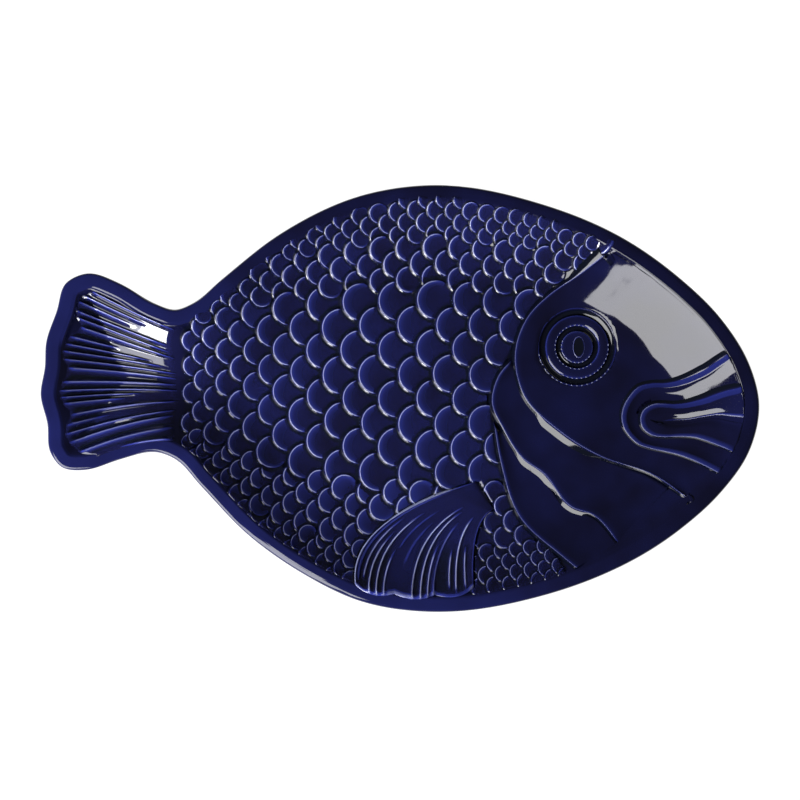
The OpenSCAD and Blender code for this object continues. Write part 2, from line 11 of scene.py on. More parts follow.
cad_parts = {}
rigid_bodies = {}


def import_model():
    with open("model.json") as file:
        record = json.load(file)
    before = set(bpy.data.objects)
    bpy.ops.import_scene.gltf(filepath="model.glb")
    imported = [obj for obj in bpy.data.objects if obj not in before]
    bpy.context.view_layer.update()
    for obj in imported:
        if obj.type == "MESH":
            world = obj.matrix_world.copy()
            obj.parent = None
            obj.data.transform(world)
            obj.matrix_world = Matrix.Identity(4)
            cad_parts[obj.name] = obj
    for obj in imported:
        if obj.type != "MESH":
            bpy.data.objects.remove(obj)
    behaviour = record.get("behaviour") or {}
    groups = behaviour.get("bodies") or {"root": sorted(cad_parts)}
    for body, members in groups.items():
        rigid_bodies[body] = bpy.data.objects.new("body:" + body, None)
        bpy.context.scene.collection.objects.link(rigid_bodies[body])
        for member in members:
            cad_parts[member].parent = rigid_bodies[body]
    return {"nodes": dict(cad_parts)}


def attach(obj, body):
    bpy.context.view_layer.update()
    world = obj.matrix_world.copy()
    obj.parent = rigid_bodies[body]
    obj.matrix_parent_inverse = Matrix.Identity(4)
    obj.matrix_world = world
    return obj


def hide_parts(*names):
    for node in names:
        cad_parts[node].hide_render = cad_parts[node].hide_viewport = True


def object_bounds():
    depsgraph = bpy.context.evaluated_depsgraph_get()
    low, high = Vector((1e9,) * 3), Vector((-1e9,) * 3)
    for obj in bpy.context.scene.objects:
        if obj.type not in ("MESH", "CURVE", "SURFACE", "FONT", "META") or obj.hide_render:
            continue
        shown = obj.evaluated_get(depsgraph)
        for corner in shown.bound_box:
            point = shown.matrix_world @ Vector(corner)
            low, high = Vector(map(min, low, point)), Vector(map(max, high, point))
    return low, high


bl_info = {
    "name": "Fish Platter",
    "version": (1, 0, 0),
    "blender": (4, 2, 0),
    "location": "3D View > Sidebar > Platter",
    "description": "Models a glazed stoneware platter with a fish in relief",
    "category": "Mesh",
}

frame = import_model()
bpy.ops.object.select_all(action="DESELECT")
CAD_BOX = [list(corner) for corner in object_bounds()]
MM = 0.001
HALF = np.array([CAD_BOX[1][0] - CAD_BOX[0][0], CAD_BOX[1][1] - CAD_BOX[0][1]]) / (2 * MM)
RIM_Z = CAD_BOX[1][2] / MM

# Curves of the mould, in shares of the half length and the half width
OUTLINE = [
    (1, -0.025), (0.975, 0.15), (0.893, 0.375), (0.78, 0.562), (0.614, 0.758),
    (0.39, 0.913), (0.11, 1), (-0.11, 0.95), (-0.333, 0.772), (-0.5, 0.552),
    (-0.575, 0.447), (-0.625, 0.416), (-0.68, 0.444), (-0.778, 0.539), (-0.87, 0.587),
    (-0.93, 0.54), (-0.955, 0.41), (-0.985, 0.26), (-0.988, 0.15), (-1, 0.017),
    (-0.981, -0.118), (-0.973, -0.252), (-0.94, -0.323), (-0.875, -0.336), (-0.778, -0.286),
    (-0.675, -0.252), (-0.627, -0.282), (-0.555, -0.408), (-0.42, -0.643), (-0.277, -0.814),
    (-0.11, -0.95), (0.11, -1), (0.39, -0.927), (0.614, -0.787), (0.70, -0.707),
    (0.78, -0.613), (0.893, -0.44), (0.972, -0.248),
]
CHEEK_EDGE = [
    (0.585, 0.69), (0.5, 0.581), (0.422, 0.492), (0.36, 0.385), (0.325, 0.22),
    (0.35, 0.014), (0.447, -0.15), (0.558, -0.267), (0.712, -0.361), (0.815, -0.486),
]
CHEEK_UNDER = [
    (0.334, 0.19), (0.352, 0.005), (0.447, -0.158), (0.558, -0.275), (0.712, -0.369), (0.762, -0.425),
]
GILL_EDGE = [
    (0.325, 0.2), (0.277, 0.103), (0.26, -0.02), (0.291, -0.141), (0.345, -0.28),
    (0.403, -0.351), (0.486, -0.515), (0.536, -0.543), (0.622, -0.705),
]
GILL_UNDER = [
    (0.279, -0.13), (0.338, -0.288), (0.398, -0.361), (0.48, -0.523), (0.536, -0.546), (0.62, -0.7),
]
FLAP_EDGE = [(0.264, -0.1), (0.283, -0.29), (0.341, -0.567), (0.45, -0.735), (0.498, -0.8)]
FIELD_EDGE = [
    (0.62, 1.1), (0.545, 0.70), (0.478, 0.607), (0.41, 0.5), (0.35, 0.4), (0.315, 0.25),
    (0.27, 0.1), (0.253, -0.02), (0.256, -0.12), (0.273, -0.29), (0.33, -0.575), (0.437, -0.75),
    (0.49, -1.1),
]
LIP_EDGE = [
    (0.938, 0.24), (0.912, 0.206), (0.883, 0.17), (0.855, 0.135), (0.826, 0.11), (0.786, 0.083),
    (0.748, 0.07), (0.705, 0.068), (0.6705, 0.052), (0.646, 0.01), (0.629, -0.042), (0.624, -0.084),
    (0.63, -0.136), (0.646, -0.178), (0.6705, -0.215), (0.705, -0.2355), (0.742, -0.249),
    (0.779, -0.264), (0.826, -0.295), (0.855, -0.32), (0.883, -0.346), (0.92, -0.384),
]
MOUTH_EDGE = [
    (0.962, 0.062), (0.94, 0.046), (0.912, 0.034), (0.883, 0.017), (0.855, -0.002), (0.826, -0.016),
    (0.798, -0.026), (0.77, -0.03), (0.741, -0.026), (0.713, -0.028), (0.684, -0.059),
    (0.677, -0.097), (0.684, -0.14), (0.704, -0.169), (0.741, -0.181), (0.77, -0.179),
    (0.798, -0.179), (0.826, -0.183), (0.855, -0.198), (0.883, -0.217), (0.912, -0.238),
    (0.95, -0.268),
]
MOUTH_SLIT = [
    (0.968, -0.106), (0.926, -0.095), (0.892, -0.085), (0.855, -0.0925), (0.812, -0.107),
    (0.77, -0.112), (0.722, -0.116),
]
NAPE_FOLD = [(0.495, 0.62), (0.54, 0.655), (0.576, 0.695), (0.594, 0.742)]
EYE = (0.4985, 0.2435)
FIN_ROOT = [(0.2225, -0.387), (0.268, -0.523)]
FIN_BEND = [(-0.16, -0.58), (0.2, -0.571)]
FIN_TIP = [(-0.1265, -0.853), (0.21, -0.866)]
# each ray of the fin: its place across the fin half way along and at the tip, where it begins and ends,
# and how sharp it is
FIN_RAYS = [
    (0.012, 0.012, 0.02, 0.98, 0.8), (0.045, 0.038, 0.12, 0.92, 0.45),
    (0.1, 0.077, 0.4, 0.9, 0.8), (0.16, 0.122, 0.52, 1, 1), (0.218, 0.182, 0.33, 1, 1),
    (0.3, 0.24, 0.65, 1, 0.9), (0.33, 0.27, 0.28, 0.64, 0.4), (0.434, 0.37, 0.4, 0.75, 0.4),
    (0.525, 0.475, 0.2, 1, 1), (0.6, 0.543, 0.25, 1, 1), (0.66, 0.603, 0.6, 1, 0.9),
    (0.71, 0.652, 0.38, 1, 0.6), (0.782, 0.79, 0.6, 0.94, 0.9), (0.842, 0.844, 0.28, 0.96, 1),
    (0.898, 0.925, 0.58, 0.96, 0.85), (0.988, 0.988, 0.05, 0.95, 0.5),
]
# each hollow between the rays: its two sides across the fin, and where it begins
FIN_VALLEYS = [(0.055, 0.27, 0.5), (0.48, 0.64, 0.45), (0.67, 0.945, 0.45)]
TAIL_ROOT = [
    (-0.62, 0.315), (-0.63, 0.263), (-0.627, 0.206), (-0.622, 0.161), (-0.62, 0.137), (-0.616, 0.09),
    (-0.612, 0.035), (-0.61, 0.003), (-0.614, -0.029), (-0.622, -0.077), (-0.62, -0.19),
]
TAIL_END = [
    (-0.862, 0.507), (-0.887, 0.488), (-0.902, 0.462), (-0.908, 0.417), (-0.906, 0.385),
    (-0.898, 0.34), (-0.927, 0.295), (-0.938, 0.26), (-0.946, 0.225), (-0.944, 0.186),
    (-0.933, 0.145), (-0.948, 0.077), (-0.956, 0.035), (-0.954, 0.003), (-0.946, -0.026),
    (-0.925, -0.08), (-0.935, -0.128), (-0.938, -0.173), (-0.929, -0.212), (-0.898, -0.257),
    (-0.85, -0.27),
]
# where each ray of the tail begins on its way from the root to the end
TAIL_STARTS = [0, 0.3, 0.4, 0.05, 0.05, 0, 0.5, 0.22, 0.1, 0, 0, 0, 0, 0.3, 0.45, 0, 0.6, 0, 0, 0, 0]

# Heights and widths of the dish and its relief, in millimetres
LIP_W, WALL_W, FLOOR_Z, LIP_DROP = 8.5, 48.0, 9.0, 0.8
FIELD_DROP = 0.9  # the floor between the scales lies this much lower than the CAD floor
HEAD_SWELL = 0.6  # the head stands this much prouder beside the rim lip
CLAY_ROOM = 3.2  # relief that reaches deeper into the dish would show on its underside
SUNK = 1.4  # depth of a piece of relief where it has run out
PROUD = 0.4  # relief may stand this much above the rim
SCALE_R, SCALE_H = 10, 2.3  # radius and height of the scale that is copied


def linear(code):
    """Turns an sRGB hex value into the linear colour that Blender works in."""
    parts = [int(code[i:i + 2], 16) / 255 for i in (1, 3, 5)]
    return tuple(c / 12.92 if c <= 0.04045 else ((c + 0.055) / 1.055) ** 2.4 for c in parts)


# Plan curves and the height of the dish, in millimetres

def at(shares):
    """Places in millimetres from shares of the half length and the half width."""
    return np.array(shares, float) * HALF


def spline(p0, p1, p2, p3, t):
    """A smooth curve from p1 to p2 whose bends follow the chords between the four points."""
    a, b, c = (np.linalg.norm(q - p, axis=-1, keepdims=True) for p, q in ((p0, p1), (p1, p2), (p2, p3)))
    m1 = b * ((p1 - p0) / a - (p2 - p0) / (a + b) + (p2 - p1) / b)
    m2 = b * ((p2 - p1) / b - (p3 - p1) / (b + c) + (p3 - p2) / c)
    return ((2 * t**3 - 3 * t**2 + 1) * p1 + (t**3 - 2 * t**2 + t) * m1
            + (3 * t**2 - 2 * t**3) * p2 + (t**3 - t**2) * m2)


def closed_curve(points, steps):
    """A smooth closed line through points, with so many steps between two of them."""
    t = (np.arange(steps) / steps)[None, :, None]
    around = [np.roll(points, k, axis=0)[:, None, :] for k in (1, 0, -1, -2)]
    return spline(*around, t).reshape(-1, 2)


def on_curve(shares, u):
    """Points of an open curve at the shares u of its run."""
    points = at(shares)
    points = np.vstack([2 * points[0] - points[1], points, 2 * points[-1] - points[-2]])
    run = np.clip(np.asarray(u, float), 0, 1) * (len(points) - 3)
    k = np.minimum(run.astype(int), len(points) - 4)
    return spline(points[k], points[k + 1], points[k + 2], points[k + 3], (run - k)[:, None])


def beside(shares, u, step):
    """Unit vectors to the left of an open curve, at the shares u of its run."""
    ahead = on_curve(shares, np.minimum(1, u + step)) - on_curve(shares, np.maximum(0, u - step))
    return np.column_stack([-ahead[:, 1], ahead[:, 0]]) / np.linalg.norm(ahead, axis=1)[:, None]


RIM = closed_curve(at(OUTLINE), 8)


def line_distance(points, line):
    """Distance from each point to a closed line."""
    a, b = line, np.roll(line, -1, axis=0)
    ab = b - a
    found = []
    for part in np.array_split(points, max(1, len(points) // 2000)):
        ap = part[:, None, :] - a[None]
        t = np.clip((ap * ab).sum(-1) / (ab * ab).sum(-1), 0, 1)
        found.append(np.sqrt(((ap - t[..., None] * ab) ** 2).sum(-1).min(1)))
    return np.concatenate(found)


def inside(points, line):
    """Which points lie inside a closed line."""
    a, b = line, np.roll(line, -1, axis=0)
    x, y = points[:, 0:1], points[:, 1:2]
    crosses = (a[:, 1] > y) != (b[:, 1] > y)
    rise = np.where(np.abs(b[:, 1] - a[:, 1]) < 1e-9, 1e-9, b[:, 1] - a[:, 1])
    return (crosses & (x < a[:, 0] + (y - a[:, 1]) / rise * (b[:, 0] - a[:, 0]))).sum(1) % 2 == 1


def dish_height(points):
    """Height of the inside of the dish: the rim lip, the curved wall and the flat floor."""
    d = line_distance(points, RIM)
    lip = RIM_Z - np.interp(d, [0, 0.5, 1.8, 3.8, 6.4, LIP_W], [3, 1.4, 0.35, 0, 0.12, LIP_DROP])
    wall = FLOOR_Z + (RIM_Z - LIP_DROP - FLOOR_Z) * np.clip(1 - (d - LIP_W) / WALL_W, 0, 1) ** 2
    return np.where(d < LIP_W, lip, wall), d


def smooth_step(low, high, x):
    """0 at low and 1 at high, with a soft start and end; low may be the larger one."""
    t = np.clip((x - low) / (high - low), 0, 1)
    return t * t * (3 - 2 * t)


def fin_point(u, v):
    """A point of the breast fin: u goes across its rays, v from the shoulder to the scalloped tip."""
    root, bend, tip = (np.array(p, float) for p in (FIN_ROOT, FIN_BEND, FIN_TIP))
    u, v = u[:, None], v[:, None]
    bow, lobes = 6.5, 2.4
    reach = np.sqrt(np.clip(np.sin(np.pi * u), 0, None))
    drop = -1.5 - bow * reach - lobes * np.abs(np.sin(3 * np.pi * u))
    r, c, t = (((1 - u) * p[0] + u * p[1]) * HALF for p in (root, bend, tip))
    t = t + np.hstack([np.zeros_like(drop), drop])
    return r * (1 - v) ** 2 + c * 2 * v * (1 - v) + t * v**2


def fin_edge():
    """The outline of the breast fin, from its shoulder around the tip and back."""
    up, down = np.arange(0, 0.95, 0.1), np.arange(0.9, -0.01, -0.1)
    across = np.linspace(0, 1, 25)
    return np.vstack([fin_point(np.zeros_like(up), up), fin_point(across, np.ones_like(across)),
                      fin_point(np.ones_like(down), down)])


# Hands: picking, selecting and finishing

def pick(piece):
    """Makes a piece the only one selected, and active."""
    if bpy.context.object and bpy.context.object.mode != "OBJECT":
        bpy.ops.object.mode_set(mode="OBJECT")
    bpy.ops.object.select_all(action="DESELECT")
    piece.select_set(True)
    bpy.context.view_layer.objects.active = piece


def select_faces(piece, test):
    """Goes into edit mode with the faces selected whose normal passes the test."""
    bpy.ops.object.mode_set(mode="EDIT")
    bpy.ops.mesh.select_mode(type="FACE")
    bpy.ops.mesh.select_all(action="DESELECT")
    mesh = bmesh.from_edit_mesh(piece.data)
    for face in mesh.faces:
        if test(face.normal):
            face.select_set(True)
    bmesh.update_edit_mesh(piece.data)


def apply_modifier(piece, kind, **settings):
    """Adds a modifier and applies it."""
    pick(piece)
    modifier = piece.modifiers.new(kind.title(), kind)
    for name, value in settings.items():
        setattr(modifier, name, value)
    bpy.ops.object.modifier_apply(modifier=modifier.name)


def read_points(piece):
    """The points of a mesh, in millimetres."""
    values = np.empty(len(piece.data.vertices) * 3)
    piece.data.vertices.foreach_get("co", values)
    return values.reshape(-1, 3) / MM


def write_points(piece, points):
    """Moves the points of a mesh to places in millimetres."""
    piece.data.vertices.foreach_set("co", (points * MM).ravel())
    piece.data.update()


def mark_glaze_light_and_shade(piece, values):
    """Keeps, for each point, how the glaze lies there and the light and shade painted on it: 1 where it has
    run off a sharp crest or a highlight is painted, 0 on a face, -1 where it has run into a groove or shade
    is painted."""
    layer = piece.data.attributes.get("crest") or piece.data.attributes.new("crest", "FLOAT", "POINT")
    layer.data.foreach_set("value", np.asarray(values, np.float32))


def read_glaze_light_and_shade(piece):
    """How the glaze lies at each point, with its painted light and shade."""
    values = np.empty(len(piece.data.vertices), np.float32)
    piece.data.attributes["crest"].data.foreach_get("value", values)
    return values


def thicken(piece, depth=2.0):
    """Gives a sheet its thickness in millimetres, downward."""
    apply_modifier(piece, "SOLIDIFY", thickness=depth * MM, offset=-1)


def join(pieces):
    """Joins pieces to the first of them."""
    pick(pieces[0])
    for piece in pieces[1:]:
        piece.select_set(True)
    bpy.ops.object.join()
    return pieces[0]


def face_up(piece):
    """Turns a sheet over if its faces look down."""
    if sum(face.normal.z * face.area for face in piece.data.polygons) < 0:
        pick(piece)
        bpy.ops.object.mode_set(mode="EDIT")
        bpy.ops.mesh.select_all(action="SELECT")
        bpy.ops.mesh.flip_normals()
        bpy.ops.object.mode_set(mode="OBJECT")


def cad_copy(node, name):
    """A copy of a CAD node with its loose triangles joined up."""
    source = frame["nodes"][node]
    piece = bpy.data.objects.new(name, source.data.copy())
    bpy.context.scene.collection.objects.link(piece)
    pick(piece)
    bpy.ops.object.mode_set(mode="EDIT")
    bpy.ops.mesh.select_all(action="SELECT")
    bpy.ops.mesh.remove_doubles(threshold=0.02 * MM)
    bpy.ops.mesh.tris_convert_to_quads(face_threshold=math.radians(50), shape_threshold=math.radians(60))
    bpy.ops.object.mode_set(mode="OBJECT")
    return piece


def lay_grid(name, columns, rows, place):
    """A grid laid over a shape: place(u, v) gives each of its points in millimetres, and its crest value."""
    bpy.ops.mesh.primitive_grid_add(x_subdivisions=columns, y_subdivisions=rows, size=1)
    piece = bpy.context.object
    piece.name = name
    share = np.empty(len(piece.data.vertices) * 3)
    piece.data.vertices.foreach_get("co", share)
    share = np.clip(share.reshape(-1, 3) + 0.5, 0, 1)
    points, crest = place(share[:, 0], share[:, 1])
    write_points(piece, points)
    mark_glaze_light_and_shade(piece, crest)
    face_up(piece)
    return piece


def behind_gill(points):
    """How far each point lies behind the edge of the scale field, toward the tail."""
    edge = on_curve(FIELD_EDGE, np.linspace(0, 1, 61))[::-1]
    return np.interp(points[:, 1], edge[:, 1], edge[:, 0]) - points[:, 0]


def skin(d):
    """Height of the skin of the head over the dish: it thins out toward the rim lip, and swells beside it."""
    plate = bpy.context.scene.platter_sizes.plate_root_h / MM
    return plate * smooth_step(7.5, 30, d) + HEAD_SWELL * smooth_step(40, 9, d)


def lay_on_dish(piece, lift=None, sink=None):
    """Lowers a piece that was modelled flat on to the inside of the dish, or on to the skin of the head.
    lift(d) raises it, and it runs out under the dish where sink(points, d) is 0."""
    points = read_points(piece)
    height, d = dish_height(points[:, :2])
    z = np.maximum(points[:, 2] + (lift(d) if lift else 0), -CLAY_ROOM)
    if sink is not None:
        keep = sink(points[:, :2], d)
        z = z * keep - SUNK * (1 - keep)
    points[:, 2] = np.minimum(height + z, RIM_Z + PROUD)
    write_points(piece, points)


def under_lip(points, d):
    """Lets a piece of the relief run out under the inner edge of the rim lip."""
    return smooth_step(7.6, 10.5, d)


def finish_piece(piece, nodes, material):
    """Smooth shaded, in its finish, and standing for its CAD nodes."""
    pick(piece)
    bpy.ops.object.transform_apply(location=True, rotation=True, scale=True)
    bpy.ops.object.shade_smooth()
    piece.data.materials.clear()
    piece.data.materials.append(material)
    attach(piece, "root")
    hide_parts(*nodes)


def glaze(piece, *nodes):
    """Finishes a piece in the cobalt glaze."""
    finish_piece(piece, nodes, cobalt_glaze())


# Materials

def add(tree, kind, settings=None, values=None, links=None):
    """Adds a node with its settings, its input values and the sockets that feed it."""
    node = tree.nodes.new(kind)
    for name, value in (settings or {}).items():
        setattr(node, name, value)
    for name, value in (values or {}).items():
        node.inputs[name].default_value = value
    for name, source in (links or {}).items():
        tree.links.new(source, node.inputs[name])
    return node


def new_material(name):
    """An empty material with its node tree."""
    material = bpy.data.materials.get(name) or bpy.data.materials.new(name)
    material.use_nodes = True
    material.node_tree.nodes.clear()
    return material, material.node_tree


def cobalt_glaze():
    """Glossy cobalt glaze over stoneware. It is deep navy where it lies thick and runs thin and pale over
    sharp crests;
    painted shade darkens grooves and crevices almost to black over the glaze pooled there; it has the faint
    waves of a poured coat."""
    colours = bpy.context.scene.platter_colours
    material, tree = new_material("cobalt_glaze_poured_on_stoneware")
    place = add(tree, "ShaderNodeTexCoord").outputs["Object"]
    # the coat is a little thinner in clouds of about 30 mm
    cloud = add(tree, "ShaderNodeTexNoise", {"noise_dimensions": "3D"},
                {"Scale": 1 / 0.030, "Detail": 2.0, "Roughness": 0.5}, {"Vector": place})
    thick = add(tree, "ShaderNodeMapRange", {},
                {"From Min": 0.3, "From Max": 0.7, "To Min": 0.0, "To Max": 0.16},
                {"Value": cloud.outputs["Fac"]})
    body = add(tree, "ShaderNodeMix", {"data_type": "RGBA"},
               {"A": (*colours.face, 1), "B": (*colours.thin_face, 1)}, {"Factor": thick.outputs["Result"]})
    # it is thinner toward the crests, and grooves a few millimetres deep hold more of it; the crest value
    # also carries painted light on the sides toward the lamps
    crest = add(tree, "ShaderNodeAttribute", {"attribute_name": "crest"})
    lean = add(tree, "ShaderNodeMapRange", {"interpolation_type": "SMOOTHSTEP"},
               {"From Min": 0.0, "From Max": 0.3, "To Min": 0.0, "To Max": 0.8},
               {"Value": crest.outputs["Fac"]})
    body = add(tree, "ShaderNodeMix", {"data_type": "RGBA"}, {"B": (*colours.thin_face, 1)},
               {"Factor": lean.outputs["Result"], "A": body.outputs["Result"]})
    # painted shade: ambient occlusion darkens every crevice within 4 mm, on top of the glaze pooled there
    groove = add(tree, "ShaderNodeAmbientOcclusion", {"samples": 8}, {"Distance": 4 * MM})
    ao_painted_shade = add(tree, "ShaderNodeMapRange", {"interpolation_type": "SMOOTHSTEP"},
               {"From Min": 0.85, "From Max": 0.5, "To Min": 0.0, "To Max": 0.95},
               {"Value": groove.outputs["AO"]})
    groove_pool_and_shade = add(tree, "ShaderNodeMapRange", {"interpolation_type": "SMOOTHSTEP"},
               {"From Min": -0.15, "From Max": -0.75, "To Min": 0.0, "To Max": 0.97},
               {"Value": crest.outputs["Fac"]})
    pool = add(tree, "ShaderNodeMath", {"operation": "MAXIMUM"}, {},
               {0: ao_painted_shade.outputs["Result"], 1: groove_pool_and_shade.outputs["Result"]})
    pooled_and_shaded = add(tree, "ShaderNodeMix", {"data_type": "RGBA"}, {"B": (*colours.pool, 1)},
                 {"Factor": pool.outputs[0], "A": body.outputs["Result"]})
    # pale glaze over crests, which on some edges also stands for a painted highlight
    thin = add(tree, "ShaderNodeMapRange", {"interpolation_type": "SMOOTHSTEP"},
               {"From Min": 0.35, "From Max": 1.0, "To Min": 0.0, "To Max": 0.9},
               {"Value": crest.outputs["Fac"]})
    colour = add(tree, "ShaderNodeMix", {"data_type": "RGBA"}, {"B": (*colours.crest, 1)},
                 {"Factor": thin.outputs["Result"], "A": pooled_and_shaded.outputs["Result"]})
    # long waves of the coat, about 18 mm from crest to crest and about a tenth of a millimetre high
    wave = add(tree, "ShaderNodeTexNoise", {"noise_dimensions": "3D"},
               {"Scale": 1 / 0.018, "Detail": 1.0, "Roughness": 0.4}, {"Vector": place})
    bump = add(tree, "ShaderNodeBump", {}, {"Strength": 0.9, "Distance": 0.6 * MM},
               {"Height": wave.outputs["Fac"]})
    shader = add(tree, "ShaderNodeBsdfPrincipled", {}, {"Roughness": 0.06, "IOR": 1.5},
                 {"Base Color": colour.outputs["Result"], "Normal": bump.outputs["Normal"]})
    add(tree, "ShaderNodeOutputMaterial", {}, {}, {"Surface": shader.outputs["BSDF"]})
    return material


def bare_stoneware():
    """Fired clay with its glaze wiped off: matt, buff, with fine dark grog specks and a sandy feel."""
    colours = bpy.context.scene.platter_colours
    material, tree = new_material("bare_stoneware_wiped_foot")
    place = add(tree, "ShaderNodeTexCoord").outputs["Object"]
    tone = add(tree, "ShaderNodeTexNoise", {}, {"Scale": 1 / 0.012, "Detail": 3.0}, {"Vector": place})
    body = add(tree, "ShaderNodeMix", {"data_type": "RGBA"},
               {"A": (*colours.clay, 1), "B": (*linear("#B79C7E"), 1)}, {"Factor": tone.outputs["Fac"]})
    # grog specks about 1.5 mm apart, drawn coarser than real ones so that they show
    speck = add(tree, "ShaderNodeTexVoronoi", {}, {"Scale": 1 / 0.0015}, {"Vector": place})
    dots = add(tree, "ShaderNodeMapRange", {},
               {"From Min": 0.12, "From Max": 0.2, "To Min": 0.7, "To Max": 0.0},
               {"Value": speck.outputs["Distance"]})
    colour = add(tree, "ShaderNodeMix", {"data_type": "RGBA"}, {"B": (*linear("#5E4A38"), 1)},
                 {"Factor": dots.outputs["Result"], "A": body.outputs["Result"]})
    sand = add(tree, "ShaderNodeTexNoise", {}, {"Scale": 1 / 0.0008, "Detail": 2.0}, {"Vector": place})
    bump = add(tree, "ShaderNodeBump", {}, {"Strength": 0.4, "Distance": 0.15 * MM},
               {"Height": sand.outputs["Fac"]})
    shader = add(tree, "ShaderNodeBsdfPrincipled", {}, {"Roughness": 0.85, "IOR": 1.5},
                 {"Base Color": colour.outputs["Result"], "Normal": bump.outputs["Normal"]})
    add(tree, "ShaderNodeOutputMaterial", {}, {}, {"Surface": shader.outputs["BSDF"]})
    return material


def length_prop(name, description, value):
    """A length in millimetres that a user would change."""
    return bpy.props.FloatProperty(name=name, description=description, default=value * MM,
                                   unit="LENGTH", precision=5)


def colour_prop(name, description, code):
    """A colour that a user would change."""
    return bpy.props.FloatVectorProperty(name=name, description=description, default=linear(code),
                                         size=3, subtype="COLOR", min=0, max=1)


class PlatterSizes(bpy.types.PropertyGroup):
    """Sizes of the relief that a user would change"""

    flank_pitch: length_prop("Flank pitch", "Distance between flank scales along a row", 21.4)
    flank_row: length_prop("Flank row", "Distance between two rows of flank scales", 14)
    mid_pitch: length_prop("Middle scale pitch", "Distance between middle scales along a row", 15)
    mid_row: length_prop("Middle scale row", "Distance between two rows of middle scales", 8.8)
    fine_pitch: length_prop("Small scale pitch", "Distance between small scales along a row", 10.6)
    fine_row: length_prop("Small scale row", "Distance between two rows of small scales", 6.2)
    scale_h: length_prop("Scale height", "Height of the free edge of a flank scale", 2.2)
    ray_h: length_prop("Tail ray height", "Height of the crests of the tail rays", 1.8)
    fin_h: length_prop("Fin height", "Height of the breast fin", 2.4)
    plate_h: length_prop("Plate edge height", "Height of the free edges of the gill and the cheek", 2.8)
    plate_root_h: length_prop("Plate height", "Height of the gill and the cheek away from their edges", 1.3)
    lips_h: length_prop("Lip height", "Height of the lips above the cheek", 1.6)


class PlatterColours(bpy.types.PropertyGroup):
    """Colours of the glaze and the clay"""

    face: colour_prop("Glaze", "Thick glaze on the faces", "#09091F")
    thin_face: colour_prop("Thinner glaze", "Glaze where its coat is a little thinner", "#1E2566")
    # glaze pooled in the grooves, and painted shade there; the crest colour also gives painted highlights on
    # some edges
    pool: colour_prop("Pooled glaze", "Glaze that has run into the grooves", "#070A14")
    crest: colour_prop("Glaze over crests", "Glaze that has run off sharp edges", "#868BA8")
    clay: colour_prop("Bare clay", "Unglazed stoneware of the foot ring", "#CDB496")


class PLATTER_OT_dish(bpy.types.Operator):
    """Rounds the shell of the dish, with its rim lip"""

    bl_idname = "platter.dish"
    bl_label = "Dish"

    def execute(self, context):
        dish = cad_copy("platter_body", "dish_shell")
        apply_modifier(dish, "SUBSURF", levels=2, render_levels=2)
        points = read_points(dish)
        x, y = points[:, 0], points[:, 1]
        height, d = dish_height(points[:, :2])
        # the floor lies lower between the scales, and pooled glaze and painted shade make it dark there
        inner_side = np.abs(points[:, 2] - height) < 2
        field = (smooth_step(8.8, 10.8, d) * smooth_step(-6, -2, behind_gill(points)) * inner_side
                 * smooth_step(-124, -119, x))
        points[:, 2] -= FIELD_DROP * field
        above = points[:, 2] > height - 1

        def raise_lip(stops, drops, weight):
            """Raises the lip to a profile: its depth under the rim at each distance from the outline."""
            short = np.maximum(0, RIM_Z - np.interp(d, stops, drops) - points[:, 2])
            points[:, 2] += np.where(above & (d >= stops[0]) & (d < stops[-1]), short, 0) * weight

        tail, head = smooth_step(-75, -105, x), smooth_step(105, 125, x)
        # the lip is crisper than its facets, most of all on the tail, and softer along the belly
        soft = smooth_step(-90, -70, x) * smooth_step(-14, -38, x) * (y < 0)
        crisp = np.maximum(0.75, np.maximum(tail, smooth_step(-78, -92, x))) * (1 - 0.8 * soft)
        raise_lip([0, 0.4, 1.0, 1.8, 3.8], [2.4, 0.9, 0.25, 0.05, 0], crisp)
        raise_lip([3.8, 7.5, LIP_W], [0, 0.12, LIP_DROP], 1)
        # along the head it is flat up to its inner edge
        raise_lip([3.8, 8.4, 9.2, 12], [0, 0.12, 1.0, 3.4], head)
        # along the upper rays of the tail it ends in a step
        upper = tail * smooth_step(-118, -124, x) * smooth_step(28, 34, y)
        raise_lip([6, 9.6, 11.2], [0.1, 0.5, 3.6], upper)
        write_points(dish, points)
        # painted light: the lip is lighter toward the tail and the belly, the side toward the lamps
        mark_glaze_light_and_shade(dish, 0.1 * smooth_step(20, -60, x + y) * (d < 9) - 0.6 * field)
        glaze(dish, "platter_body")
        return {"FINISHED"}


class PLATTER_OT_foot(bpy.types.Operator):
    """Rounds the edges of the bare foot ring"""

    bl_idname = "platter.foot"
    bl_label = "Foot ring"

    def execute(self, context):
        foot = cad_copy("foot_ring", "foot_ring_wiped")
        apply_modifier(foot, "BEVEL", width=1.2 * MM, segments=3, limit_method="ANGLE",
                       angle_limit=math.radians(50))
        finish_piece(foot, ["foot_ring"], bare_stoneware())
        return {"FINISHED"}


